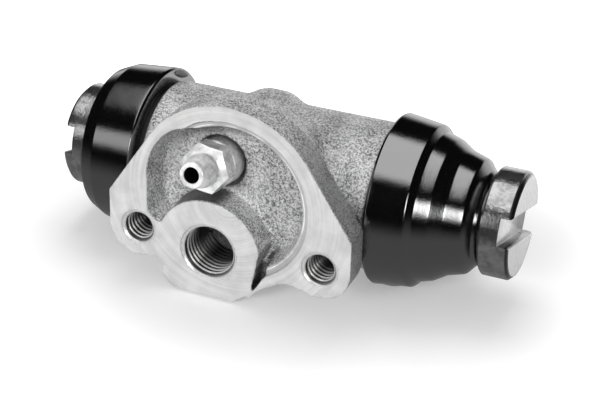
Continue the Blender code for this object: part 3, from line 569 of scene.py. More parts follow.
def surface_net(field, axes):
    """Points and quads of the surface where a field on a grid changes sign.

    Each grid cell that the surface crosses gets one point, the mean of the crossings on its edges, and each
    crossed grid edge gets one quad between the four cells round it.
    """
    cells = tuple(n - 1 for n in field.shape)
    total, count = np.zeros(cells + (3,)), np.zeros(cells)
    inside = field < 0
    crossings = []
    for axis in range(3):
        low, high = (np.take(field, range(begin, begin + cells[axis]), axis) for begin in (0, 1))
        crossed = (low < 0) != (high < 0)
        part = np.where(crossed, low / np.where(crossed, low - high, 1), 0)
        crossings.append(crossed)
        position = np.meshgrid(*[values[:-1] if a == axis else values for a, values in enumerate(axes)],
                               indexing='ij', sparse=True)
        gap = np.diff(axes[axis]).reshape([-1 if a == axis else 1 for a in range(3)])
        places = [position[a] + part * gap if a == axis else position[a] + np.zeros_like(part) for a in range(3)]
        first, second = (a for a in range(3) if a != axis)
        for i in (0, 1):
            for j in (0, 1):
                window = [slice(None)] * 3
                window[first] = slice(i, i + cells[first])
                window[second] = slice(j, j + cells[second])
                hit = crossed[tuple(window)]
                count += hit
                for a in range(3):
                    total[..., a] += np.where(hit, places[a][tuple(window)], 0)
    active = count > 0
    points = total[active] / count[active][:, None]
    index = np.full(cells, -1)
    index[active] = np.arange(len(points))
    quads = []
    for axis, crossed in enumerate(crossings):
        second, third = (axis + 1) % 3, (axis + 2) % 3
        spot = np.argwhere(crossed)
        keep = np.ones(len(spot), dtype=bool)
        for a in (second, third):
            keep &= (spot[:, a] > 0) & (spot[:, a] < cells[a])
        spot = spot[keep]
        corners = []
        for i, j in ((1, 1), (0, 1), (0, 0), (1, 0)):
            cell = spot.copy()
            cell[:, second] -= i
            cell[:, third] -= j
            corners.append(index[tuple(cell.T)])
        quad = np.stack(corners, axis=1)
        outward = inside[tuple(spot.T)]
        quads.append(np.where(outward[:, None], quad, quad[:, ::-1]))
    return points, np.concatenate(quads)


# Shader expressions


def feed(tree, socket, value):
    """Links a Value to a socket, or sets the socket to a plain number or colour."""
    if isinstance(value, Value):
        tree.links.new(value.socket, socket)
    else:
        socket.default_value = value


def scaled(colour, factor):
    """A colour made darker or paler by a factor, and never more than white."""
    return tuple(min(1, part * factor) for part in colour)


class Value:
    """A shader socket that can be used in Python arithmetic; each operation adds one Math node."""

    def __init__(self, tree, socket):
        self.tree = tree
        self.socket = socket

    def math(self, operation, *others, last=False):
        """One Math node over this value and the others. With last, this value comes after them."""
        node = self.tree.nodes.new("ShaderNodeMath")
        node.operation = operation
        for socket, value in zip(node.inputs, (*others, self) if last else (self, *others)):
            feed(self.tree, socket, value)
        return Value(self.tree, node.outputs[0])

    def __add__(self, other):
        return self.math('ADD', other)

    def __sub__(self, other):
        return self.math('SUBTRACT', other)

    def __rsub__(self, other):
        return self.math('SUBTRACT', other, last=True)

    def __mul__(self, other):
        return self.math('MULTIPLY', other)

    def __truediv__(self, other):
        return self.math('DIVIDE', other)

    def __rtruediv__(self, other):
        return self.math('DIVIDE', other, last=True)

    __radd__ = __add__
    __rmul__ = __mul__

    def power(self, exponent):
        return self.math('POWER', exponent)

    def absolute(self):
        return self.math('ABSOLUTE')

    def most(self, other):
        return self.math('MAXIMUM', other)

    def hypot(self, other):
        """The root of the sum of both squares."""
        return (self * self + other * other).power(0.5)


class Shader:
    """A node tree, emptied first. add() makes any node, settings first and sockets second."""

    def __init__(self, tree):
        self.tree = tree
        self.tree.nodes.clear()

    def add(self, kind, output=0, settings=None, **sockets):
        """Makes a node. In a socket's name an underscore stands for a space, and i6 means input number 6."""
        node = self.tree.nodes.new(kind)
        for name, value in (settings or {}).items():
            setattr(node, name, value)
        for name, value in sockets.items():
            key = int(name[1:]) if name[0] == "i" and name[1:].isdigit() else name.replace("_", " ")
            feed(self.tree, node.inputs[key], value)
        return Value(self.tree, node.outputs[output])

    def split(self, vector):
        """The three parts of a vector."""
        outputs = self.add("ShaderNodeSeparateXYZ", Vector=vector).socket.node.outputs
        return tuple(Value(self.tree, socket) for socket in outputs)

    def place(self):
        """Object coordinates as one vector, and as three values measured from the bore's axis."""
        vector = self.add("ShaderNodeTexCoord", output="Object")
        x, y, z = self.split(vector)
        return vector, (x, y - BORE_Y, z)

    def mark(self, name):
        """The number that mark_points gave to the mesh's points."""
        return self.add("ShaderNodeAttribute", output=2, settings={"attribute_name": name})

    def ray(self, kind):
        """1 for rays of one kind, such as Camera or Glossy, and 0 for the others."""
        return self.add("ShaderNodeLightPath", output=f"Is {kind} Ray")

    def noise(self, vector, scale, detail=3.0, roughness=0.55):
        return self.add("ShaderNodeTexNoise", Vector=vector, Scale=scale, Detail=detail, Roughness=roughness)

    def drawn_noise(self, parts, scales, detail, roughness=0.55):
        """Noise over three values that each have their own scale, so that its marks are drawn out."""
        x, y, z = (part * scale for part, scale in zip(parts, scales))
        return self.noise(self.add("ShaderNodeCombineXYZ", X=x, Y=y, Z=z), 1.0, detail, roughness)

    def smooth(self, value, low, high):
        """0 below low, 1 above high, and an even rise between."""
        return self.add("ShaderNodeMapRange", settings={"interpolation_type": 'SMOOTHSTEP'}, Value=value,
                        From_Min=low, From_Max=high)

    def fade(self, value, low, high):
        """1 below low, 0 above high, and an even fall between."""
        return 1 - self.smooth(value, low, high)

    def tint(self, amount, first, second):
        """A colour between two, by an amount from 0 to 1. A single number is a grey."""
        def full(shade):
            if isinstance(shade, Value):
                return shade
            return (shade, shade, shade, 1.0) if isinstance(shade, float) else (*shade, 1.0)
        return self.add("ShaderNodeMix", output=2, settings={"data_type": 'RGBA'}, Factor=amount, i6=full(first),
                        i7=full(second))

    def bump(self, height, strength, distance):
        return self.add("ShaderNodeBump", Height=height, Strength=strength, Distance=distance)

    def finish(self, **sockets):
        self.end(self.add("ShaderNodeBsdfPrincipled", **sockets))

    def end(self, shader, kind="Material"):
        """Joins a shader to an output node of its own."""
        feed(self.tree, self.tree.nodes.new(f"ShaderNodeOutput{kind}").inputs["Surface"], shader)


def new_finish(name):
    made = bpy.data.materials.new(name)
    made.use_nodes = True
    return made, Shader(made.node_tree)


def cast_and_cut_metal(s):
    """Rough grey casting with dark and bright grains and painted glints, darkened by painted shade where it is
    closed in, and bright machined planes.

    The turned step in the recess is painted darker as shade, with a painted highlight on its inner edge and a
    painted shadow at its foot along the top. The barrel's shoulders and turned ends are cut metal too, painted
    nearly black as shade under the boots' rims.
    """
    made, n = new_finish("cast_and_cut_metal")
    vector, (x, y, z) = n.place()
    depth = y - s.face_y
    ring = x.hypot(z - s.ring_z)
    face = n.fade(depth, 0.05 * MM, 0.2 * MM)
    step = n.fade(depth, s.step_depth + 0.05 * MM, s.step_depth + 0.2 * MM) \
        * n.smooth(ring, s.recess_radius - 1.3 * MM, s.recess_radius - 1.15 * MM) * n.smooth(x, -10 * MM, -7 * MM) \
        * n.fade(ring, s.recess_radius + 0.1 * MM, s.recess_radius + 0.2 * MM)
    ends = n.smooth(x.absolute(), s.barrel_half - 0.1 * MM, s.barrel_half) \
        * n.fade(y.hypot(z), s.spigot_radius + 0.1 * MM, s.spigot_radius + 0.4 * MM)
    cut_mask = face.most(step).most(ends)

    grain = n.noise(vector, 2300.0, detail=4.0, roughness=0.75)
    pits = n.noise(vector, 3400.0, detail=2.0)
    cloud = n.noise(vector, 240.0, detail=3.0)
    lumps = n.noise(vector, 900.0, detail=3.0)
    # Painted glints: near-white specks, weaker where the painted shade lies.
    painted_glints = n.smooth(n.noise(vector, 2700.0, detail=3.0, roughness=0.7), 0.55, 0.61)
    tone = n.smooth(grain * 0.65 + pits * 0.35, 0.43, 0.57) * 0.7 + n.smooth(cloud, 0.3, 0.7) * 0.3
    # Painted shade: the casting darkens towards near black where it is closed in, under the bleed screw, on the ledge
    # and flank, and in the holes.
    painted_gloom = n.smooth(n.mark("painted_shade_amount") + grain * 0.9 - 0.45, 0.4, 1.05)
    cast = n.tint(tone, scaled(s.cast_colour, 0.2), scaled(s.cast_colour, 1.35))
    cast = n.tint(painted_glints * (1 - painted_gloom * 0.8), cast, 0.95)
    cast = n.tint(painted_gloom * 0.86, cast, scaled(s.cast_colour, 0.05))

    arcs = n.drawn_noise((ring, x, z), (3600.0, 60.0, 60.0), detail=4.0, roughness=0.7)
    wide_arcs = n.drawn_noise((ring, x, z), (900.0, 40.0, 40.0), detail=2.0)
    polish = n.smooth(arcs * 0.35 + wide_arcs * 0.25 + cloud * 0.4, 0.34, 0.66)
    cut_light = n.tint(polish, scaled(s.cut_colour, 0.76), scaled(s.cut_colour, 1.1))
    pores = n.smooth(n.noise(vector, 1500.0, detail=4.0, roughness=0.75), 0.62, 0.7)
    cut_light = n.tint(pores * 0.5, cut_light, scaled(s.cut_colour, 0.3))
    # Painted shade on the step's floor, a painted shadow at its foot along the top, and a painted highlight along its
    # inner edge.
    foot = n.smooth(ring, s.recess_radius - 0.45 * MM, s.recess_radius - 0.25 * MM) \
        * n.smooth(z, s.ring_z + 2 * MM, s.ring_z + 9 * MM)
    lip = n.fade((ring - s.recess_radius * 0.94).absolute(), 0.05 * MM, 0.13 * MM)
    shade = step * n.smooth(depth, 0.3 * MM, 0.6 * MM)
    cut_light = n.tint(shade * (foot * 0.6 + 0.3), cut_light, scaled(s.cut_colour, 0.12))
    cut_light = n.tint(shade * lip * n.smooth(cloud, 0.35, 0.65) * 0.8, cut_light, 0.95)
    # Painted shade: the barrel's shoulders and turned ends, under the boots' rims, are painted nearly black.
    cut_light = n.tint(ends, cut_light, scaled(s.cut_colour, 0.06))

    height = (grain * 0.7 + pits * 0.35 + lumps * 0.8) * (1 - cut_mask) + arcs * 0.12 * cut_mask
    n.finish(Base_Color=n.tint(cut_mask, cast, cut_light), Metallic=0.65 - cut_mask * 0.47,
             Roughness=0.42 - cut_mask * 0.06 + polish * cut_mask * 0.08,
             Normal=n.bump(height, 1.0, 0.3 * MM))
    return made


def thread_metal(s):
    """Cut thread: painted highlights on the crests near the mouth and on the mouth, and painted shade, black, in the
    roots and further in.
    """
    made, n = new_finish("thread_metal")
    vector, (_, y, _) = n.place()
    marks = n.noise(vector, 3000.0, detail=2.0)
    depth = y + BORE_Y
    # Painted shade: black further into the hole.
    inside = n.smooth(depth + marks * MM, 2.0 * MM, 7.0 * MM)
    mouth = n.fade(depth, 0.5 * MM, 1.0 * MM)
    # Painted highlight on the crests and the mouth, and painted shade in the roots.
    bright = n.tint(marks, scaled(s.thread_colour, 0.8), scaled(s.thread_colour, 1.6))
    bright = n.tint(n.smooth(n.mark("crest") + marks * 0.2 - 0.1, 0.5, 0.9).most(mouth), 0.02, bright)
    n.finish(Base_Color=n.tint(inside, bright, 0.01), Metallic=0.4, Roughness=0.24 + marks * 0.14,
             Normal=n.bump(marks, 0.2, 0.05 * MM))
    return made


def turned_steel(name, shade, roughness, ripple, metallic, faces=None):
    """Plated steel that was turned: fine rings round the bore's axis, stains and a faint orange-peel ripple.

    faces gives the pistons' settings: their end faces and the slots' floors are then duller than their sides and
    painted pale as a painted reflection, and the slots' walls are painted near black as shade. Points with the
    mark "hole" are painted black as shade.
    """
    made, n = new_finish(name)
    vector, (x, y, z) = n.place()
    rings = n.drawn_noise((x, y, z), (7000.0, 120.0, 120.0), detail=3.0, roughness=0.6)
    peel = n.noise(vector, 1500.0, detail=3.0, roughness=0.65)
    stain = n.noise(vector, 420.0, detail=4.0, roughness=0.6)
    tone = n.tint(n.smooth(stain * 0.7 + peel * 0.3, 0.38, 0.6), scaled(shade, 0.6), shade)
    if faces is not None:
        out = y.hypot(z)
        inner = n.fade(out, faces.radius - faces.chamfer - 0.08 * MM, faces.radius - faces.chamfer)
        within = n.fade(out, faces.radius - 0.3 * MM, faces.radius - 0.2 * MM)
        flat, wall = 0, 0
        for end, away in ((faces.right_end, x), (faces.left_end, x * -1)):
            from_floor = away - end + faces.slot_depth
            flat += inner * n.smooth(away, end - 0.05 * MM, end - 0.03 * MM) \
                + within * n.fade(from_floor.absolute(), 0.04 * MM, 0.08 * MM)
            wall += within * n.smooth(from_floor, 0.1 * MM, 0.2 * MM) \
                * n.fade(away, end - 0.22 * MM, end - 0.12 * MM)
        streaks = n.smooth(n.drawn_noise((x, y, z), (400.0, 5200.0, 900.0), detail=4.0, roughness=0.7), 0.35, 0.65)
        # Painted reflection: the end faces and slot floors are painted pale and made less metallic, so they look as
        # bright as the reflection they stand in for.
        tone = n.tint(flat, tone, n.tint(streaks, scaled(faces.face_colour, 0.72), faces.face_colour))
        # Painted shade: the slots' walls are painted near black.
        tone = n.tint(wall * 0.85, tone, 0.03)
        metallic = metallic - flat * 0.7
    # Painted shade: points marked "hole" are painted black.
    n.finish(Base_Color=n.tint(n.mark("hole"), tone, 0.02), Metallic=metallic,
             Roughness=rings * 0.08 + stain * 0.12 + roughness,
             Normal=n.bump(rings * 0.35 + peel * ripple, 0.4, 0.05 * MM))
    return made


def glossy_rubber(s, name="glossy_rubber", roughness=0.07, pale_painted_reflection=0.0):
    """Black moulded rubber with a gloss, a slow ripple, a fine pebbled skin, a few paler scuffs and, where asked for,
    a pale painted reflection added to its colour.
    """
    made, n = new_finish(name)
    vector, _ = n.place()
    ripple = n.noise(vector, 190.0, detail=2.0)
    skin = n.noise(vector, 5000.0, detail=2.0)
    scuff = n.smooth(n.noise(vector, 900.0, detail=5.0, roughness=0.7), 0.7, 0.76)
    # A pale painted reflection may be added to the rubber's colour.
    n.finish(Base_Color=n.tint(scuff * 0.3, tuple(part + pale_painted_reflection for part in s.rubber_colour), 0.06),
             Roughness=ripple * 0.06 + scuff * 0.1 + roughness, IOR=2.5,
             Normal=n.bump(ripple * 1.6 + skin * 0.5, 0.5, 0.06 * MM))
    return made


def dull_rubber(s):
    made, n = new_finish("seal_rubber")
    vector, _ = n.place()
    fine = n.noise(vector, 2400.0)
    n.finish(Base_Color=n.tint(fine, s.seal_colour, scaled(s.seal_colour, 2)), Roughness=fine * 0.2 + 0.4,
             Normal=n.bump(fine, 0.2, 0.05 * MM))
    return made


# Pieces


class MakesPiece:
    """Lets each operator be undone."""

    bl_options = {'REGISTER', 'UNDO'}


class WHEELCYL_OT_casting(MakesPiece, bpy.types.Operator):
    """Makes the cast and machined housing"""

    bl_idname = "wheelcyl.casting"
    bl_label = "Casting"

    def execute(self, context):
        s, b = context.scene.wheelcyl_casting, context.scene.wheelcyl_bleed
        end = s.barrel_half + s.spigot_length + MM
        reach = s.ring_z + s.ring_radius + MM
        step = s.mesh_step
        depth = np.concatenate([np.arange(s.face_y - 0.9 * MM, s.face_y + 9 * MM, 0.75 * step),
                                np.arange(s.face_y + 9 * MM + 0.1 * MM, s.barrel_radius + 3.5 * MM, 1.3 * step)])
        axes = (np.arange(-end, end, step), depth, np.arange(-reach + 4 * MM, reach, step))
        x, y, z = np.meshgrid(*axes, indexing='ij', sparse=True)
        points, quads = surface_net(casting_distance(s, b, x, y, z), axes)
        faces = np.concatenate([quads[:, :3], quads[:, [0, 2, 3]]])
        made = mesh_object("cast_housing", points, faces, cast_and_cut_metal(s), crease=60)
        corners, normals = read_rows(made.data.vertices, "co"), read_rows(made.data.vertex_normals, "vector")
        # The casting's points carry the amount of painted shade that its finish reads.
        mark_points(made, "painted_shade_amount", painted_shade_amount(s, b, corners, normals))
        carry(made, "housing", "housing")
        return {'FINISHED'}


def thread_sleeve(name, outer, pitch, height, depth, finish):
    """A threaded sleeve about X, mouth at x = 0: its inner radius rises and falls once in each pitch and turn.

    The inner radius is the outer radius less height * pitch * wave, and wave is a rounded saw of
    x / pitch - t / one turn. It runs out into a flared mouth, and the plain outside lies in the casting.
    """
    segments, fine = 96, 16
    rows = np.linspace(0, depth, int(depth / pitch * fine) + 1)
    turn = full_turn(segments)
    phase = (rows[:, None] / pitch - turn / math.tau) % 1
    wave = np.clip(1.25 - np.abs(phase * 2 - 1) * 1.5, 0, 1)
    flare = np.clip(1 - rows[:, None] / (0.9 * pitch), 0, 1)
    inner = outer + 0.25 * MM * flare - height * pitch * wave * (1 - flare) ** 0.7
    x = np.repeat(-rows[:, None], segments, axis=1)
    rim = np.full((1, segments), outer + SLEEVE_WALL)
    x = np.concatenate([x, x[-1:], x[:1]])
    r = np.concatenate([inner, rim, rim])
    made = surface(name, about_x(x, r, turn), finish, closed_rows=True, crease=50)
    _, y, z = read_rows(made.data.vertices, "co").T
    mark_points(made, "crest", np.clip((outer - np.hypot(y, z)) / (height * pitch), 0, 1))
    return made


class WHEELCYL_OT_threads(MakesPiece, bpy.types.Operator):
    """Makes the threads in the pipe port and in the screw lobes"""

    bl_idname = "wheelcyl.threads"
    bl_label = "Threads"

    def execute(self, context):
        s, t = context.scene.wheelcyl_casting, context.scene.wheelcyl_threads
        finish = thread_metal(t)
        screw = (t.screw_radius, t.screw_pitch, t.height, t.screw_depth)
        for name, x, z, sizes in (
                ("port_thread", s.port_x, s.port_z, (t.port_radius, t.port_pitch, t.height, t.port_depth)),
                ("left_screw_thread", -s.lobe_x, s.lobe_z, screw), ("right_screw_thread", s.lobe_x, s.lobe_z, screw)):
            made = thread_sleeve(name, *sizes, finish)
            place(made, (x, s.face_y + THREAD_INSET, z), (0, -1, 0))
            carry(made, "housing", None)
        return {'FINISHED'}


class WHEELCYL_OT_bleed_screw(MakesPiece, bpy.types.Operator):
    """Makes the bleed screw with its collar, hexagon and drilled nipple"""

    bl_idname = "wheelcyl.bleed_screw"
    bl_label = "Bleed Screw"

    def execute(self, context):
        b = context.scene.wheelcyl_bleed
        tip = b.length_out
        collar, hex_end = 3.3 * MM, 7.2 * MM
        flat = b.across_flats / 2
        corner = flat / math.cos(math.radians(30)) * 1.05  # beyond the hexagon's own, as hexagon() brings it in
        rise = math.tan(math.radians(30))
        front = 2.93 * MM
        outside = soften([*corners_from(0, [(-5.1, 0, 0), (-5.1, 1.5, 0), (-3.7, 2.9, 0.1), (-0.7, 2.9, 0)]),
                          (-0.7 * MM, b.collar_radius, 0.15 * MM), (collar, b.collar_radius, 0.2 * MM),
                          (collar, flat, 0), (collar + 0.02 * MM, corner, 0),
                          (hex_end - (corner - front) * rise, corner, 0), (hex_end, front, 0.15 * MM),
                          *corners_from(hex_end, [(0, 2.3, 0.15), (0.6, 2.3, 0.15), (1.0, 2.95, 0.15)]),
                          (tip, 2.15 * MM, 0.3 * MM), (tip, DRILLING_RADIUS, 0.12 * MM),
                          (tip - 10.5 * MM, DRILLING_RADIUS, 0), (tip - 11.0 * MM, 0, 0)])
        outside = resample(outside, 0.12 * MM)

        def hexagon(x, r, turn):
            """Between collar and hexagon end the radius is that of a hexagon, flat / cos(angle from the flat)."""
            from_flat = (turn + b.hexagon_turn) % math.radians(60) - math.radians(30)
            inside = (x > collar + 1e-6) & (x < hex_end + 1e-6) & (r > 2.45 * MM)
            return np.where(inside, np.minimum(r, flat / np.cos(from_flat)), r)

        made = turned("nipple_screw", outside, turned_steel("screw_plating", b.screw_colour, 0.12, 0.5, 0.25),
                      segments=180, reshape=hexagon, crease=24)
        x, y, z = read_rows(made.data.vertices, "co").T
        # The drilling's inside is marked so that the plating there is painted black as shade.
        in_drilling = (np.hypot(y, z) < DRILLING_RADIUS + 0.02 * MM) & (x < tip - 0.2 * MM)
        mark_points(made, "hole", in_drilling)
        place(made, (b.x, b.seat_y, b.seat_z), bleed_axis(b))
        carry(made, "bleed_screw", "bleed_screw")
        return {'FINISHED'}


class WHEELCYL_OT_pistons(MakesPiece, bpy.types.Operator):
    """Makes the two plated pistons with their slotted heads"""

    bl_idname = "wheelcyl.pistons"
    bl_label = "Pistons"

    def execute(self, context):
        p = context.scene.wheelcyl_pistons
        finish = turned_steel("piston_plating", p.plating_colour, 0.03, 2.4, 0.9, faces=p)
        self.piston(p, "left", -1, p.left_end, p.left_slot_turn, finish)
        self.piston(p, "right", 1, p.right_end, p.right_slot_turn, finish)
        return {'FINISHED'}

    @staticmethod
    def piston(p, side, sign, end, slot_turn, finish):
        """Plain body, neck and head as one turned profile, with a slot cut across the end."""
        r, edge = p.radius, 0.12 * MM
        start, head = end - p.length, end - p.head_length
        neck = head - p.neck_length
        profile = soften([(start, 0, 0), (start, r - 0.5 * MM, edge), (start + 0.5 * MM, r, edge),
                          (neck - 0.5 * MM, r, edge), (neck, r - 0.5 * MM, edge), (neck, p.neck_radius, 0.3 * MM),
                          (head, p.neck_radius, 0.3 * MM), (head, r - 0.35 * MM, edge), (head + 0.35 * MM, r, edge),
                          (end - p.chamfer, r, 0.08 * MM), (end, r - p.chamfer, 0.08 * MM), (end, 0, 0)])
        made = turned(f"{side}_plated_piston", resample(profile, 0.8 * MM), finish, segments=192, side=sign)
        half, floor = p.slot_width / 2, end - p.slot_depth
        wide, deep = half + 0.3 * MM, end - 0.3 * MM
        section = np.array([[floor, -half], [deep, -half], [end, -wide], [end + MM, -wide], [end + MM, wide],
                            [end, wide], [deep, half], [floor, half]])
        middle = section.mean(axis=0)
        shut = np.zeros_like(section)
        points = np.array([[(x * sign, y, z) for x, z in row] for row, y in (
            (shut, -r - MM), (section - middle, -r - MM), (section - middle, r + MM), (shut, r + MM))])
        tool = surface("slot_tool", points, finish)
        tool.data.transform(Matrix.Rotation(slot_turn, 4, 'X') @ Matrix.Translation((middle[0] * sign, 0, 0)))
        cut(made, tool)
        bevel = made.modifiers.new("edge", 'BEVEL')
        bevel.width = 0.06 * MM
        bevel.segments = 2
        bevel.limit_method = 'ANGLE'
        bevel.angle_limit = math.radians(50)
        apply_modifiers(made)
        made.data.shade_smooth()
        made.data.set_sharp_from_angle(angle=math.radians(30))
        carry(made, f"{side}_piston", f"{side}_piston")


class WHEELCYL_OT_seals(MakesPiece, bpy.types.Operator):
    """Makes the rubber cups, the spring seats and the spring inside the bore"""

    bl_idname = "wheelcyl.seals"
    bl_label = "Seals and Spring"

    def execute(self, context):
        p, t = context.scene.wheelcyl_pistons, context.scene.wheelcyl_boots
        rubber, steel = dull_rubber(t), turned_steel("spring_steel", t.steel_colour, 0.3, 0.4, 1.0)
        for side, sign, end in (("left", -1, p.left_end), ("right", 1, p.right_end)):
            back = end - p.length - 0.3 * MM
            cup = corners_from(back, [(0, 0, 0), (0, 9.2, 0.5), (-2.4, 9.2, 0.4), (-4.9, 9.4, 0.3), (-5.7, 9.0, 0.1),
                                      (-5.7, 8.4, 0.1), (-3.2, 6.8, 0.5), (-2.4, 6.4, 0.2), (-2.4, 0, 0)])
            made = turned(f"{side}_seal_cup", soften(cup), rubber, segments=96, side=sign)
            carry(made, f"{side}_seal", f"{side}_cup")
            seat = corners_from(back - 2.7 * MM, [(0, 1.5, 0), (0, 6.3, 0.2), (-0.8, 6.3, 0.2), (-0.8, 4.1, 0.3),
                                                  (-2.8, 3.8, 0.3), (-2.8, 1.5, 0)])
            made = turned(f"{side}_pressed_seat", soften(seat), steel, closed=True, segments=96, side=sign)
            carry(made, f"{side}_seal", f"{side}_spring_seat")
        self.spring(p, steel)
        return {'FINISHED'}

    @staticmethod
    def spring(p, steel):
        """A round wire along a helix, in two halves: the point at share u of the way has angle all turns * u
        and x = start + span * (u - 0.45 sin(2 pi u) / (2 pi)), so the end turns lie closer together."""
        margin = (0.8 + 0.3 + 0.5) * MM  # the seat's flange, a gap and half the wire
        start = -(p.left_end - p.length - 3.0 * MM) + margin
        span = (p.right_end - p.length - 3.0 * MM) - margin - start
        round_wire = full_turn(16)[:, None]
        for side, low, high in (("left", 0.0, 0.5), ("right", 0.5, 1.0)):
            u = np.linspace(low, high, 241)
            turn = SPRING_TURNS * math.tau * u
            x = start + span * (u - 0.45 * np.sin(math.tau * u) / math.tau)
            middle = np.stack([x, SPRING_RADIUS * np.cos(turn), SPRING_RADIUS * np.sin(turn)], axis=1)
            along = np.gradient(middle, axis=0)
            along /= np.linalg.norm(along, axis=1, keepdims=True)
            out = np.stack([np.zeros_like(u), np.cos(turn), np.sin(turn)], axis=1)
            other = np.cross(along, out)
            ring = np.cos(round_wire) * out[:, None] + np.sin(round_wire) * other[:, None]
            points = middle[:, None] + WIRE_RADIUS * ring
            caps = np.repeat(middle[:, None], len(round_wire), axis=1)
            made = surface(f"{side}_spring_half", np.concatenate([caps[:1], points, caps[-1:]]), steel)
            ends = (x[0], x[-1]) if side == "right" else (x[-1], x[0])
            stretch(made, side, *map(float, ends), "spring_steel")
            if side == "left":
                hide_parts("spring")


class WHEELCYL_OT_boots(MakesPiece, bpy.types.Operator):
    """Makes the two rubber boots and the round tabs on their rims"""

    bl_idname = "wheelcyl.boots"
    bl_label = "Boots"

    def execute(self, context):
        s, p, t = context.scene.wheelcyl_casting, context.scene.wheelcyl_pistons, context.scene.wheelcyl_boots
        rubber = glossy_rubber(t)
        stretched = [(28.6, 14.35, 0.5), (29.65, 13.2, 0.3), (32.0, 12.45, 1.2), (34.3, 11.0, 1.2),
                     (37.3, 10.1, 1.0), (38.7, 8.4, 0.5), (39.5, 8.0, 0.4)]
        stretched_in = [(34.1, 9.8, 1.0), (30.2, 11.75, 1.0), (28.0, 12.95, 1.0)]
        pressed = [(30.2, 14.55, 0.6), (32.9, 13.3, 0.5), (33.2, 12.6, 0.3), (31.7, 8.6, 0.4)]
        pressed_in = [(30.4, 9.5, 0.5), (31.5, 12.2, 0.5), (29.2, 13.15, 0.5)]
        for side, sign, end, lip_gap, rim, inner, outer, tab_turn in (
                ("left", -1, p.left_end, 2.0 * MM, t.left_rim, pressed_in, pressed, -25),
                ("right", 1, p.right_end, 0.6 * MM, t.right_rim, stretched_in, stretched, 155)):
            head = end - p.head_length
            profile = self.profile(s, p, t, head - lip_gap, rim, inner, outer)
            made = turned(f"{side}_moulded_boot", profile, rubber, closed=True, segments=t.segments, side=sign,
                          crease=50)
            stretch(made, side, sign * (s.barrel_half + 4.8 * MM), sign * (head - 4.7 * MM), "boot_rubber")
            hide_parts(f"{side}_boot")
            # The tabs' rubber is painted paler, as a painted reflection.
            tab = self.tab(f"{side}_boot_tab", sign, math.radians(tab_turn),
                           glossy_rubber(t, f"{side}_tab_rubber", 0.5, 0.14))
            carry(tab, "housing", None)
        return {'FINISHED'}

    @staticmethod
    def profile(s, p, t, lip_out, rim, inner, outer):
        """Half section of a boot: lip, inside of the wall, bead in the groove, rim, and outside of the wall."""
        lip_in = lip_out - 2.7 * MM
        lip = p.neck_radius + 0.1 * MM
        bore, bead = s.spigot_radius + 0.1 * MM, s.spigot_radius - 0.8 * MM
        groove = s.barrel_half + 2.2 * MM
        corners = [(lip_in, lip, 0), (lip_in, lip + 2.2 * MM, 0.3 * MM), *corners_from(0, inner),
                   (s.barrel_half + s.spigot_length - 1.4 * MM, bore + 0.7 * MM, 0.3 * MM),
                   (groove + 2.4 * MM, bore, 0), (groove + 2.1 * MM, bead, 0.2 * MM),
                   (groove + 0.3 * MM, bead, 0.2 * MM), (groove, bore, 0), (rim, bore, 0.3 * MM),
                   (rim, t.rim_radius - 0.3 * MM, 0.25 * MM), (rim + 0.45 * MM, t.rim_radius, 0.3 * MM),
                   *corners_from(0, outer), (lip_out, lip, 0.2 * MM), (lip_in, lip, 0)]
        return resample(soften(corners), 0.7 * MM)[:-1]

    @staticmethod
    def tab(name, sign, turn, rubber):
        """A round domed lug on the rim: the points of a ball at height h and spread sqrt(1 - h * h) from its
        middle, with the spread raised to the power 0.7, flattened and moved out to the rim."""
        up = np.linspace(-math.pi / 2, math.pi / 2, 33)[:, None]
        about = full_turn(64)
        spread = TAB_RADIUS * np.abs(np.cos(up)) ** 0.7
        points = np.stack(np.broadcast_arrays(spread * np.cos(about), spread * np.sin(about),
                                              TAB_HALF_HEIGHT * np.sin(up)), axis=-1)
        made = surface(name, points, rubber)
        made.data.transform(Matrix.Rotation(turn, 4, 'X') @ Matrix.Translation((sign * TAB_AT[0], 0, TAB_AT[1])))
        return made


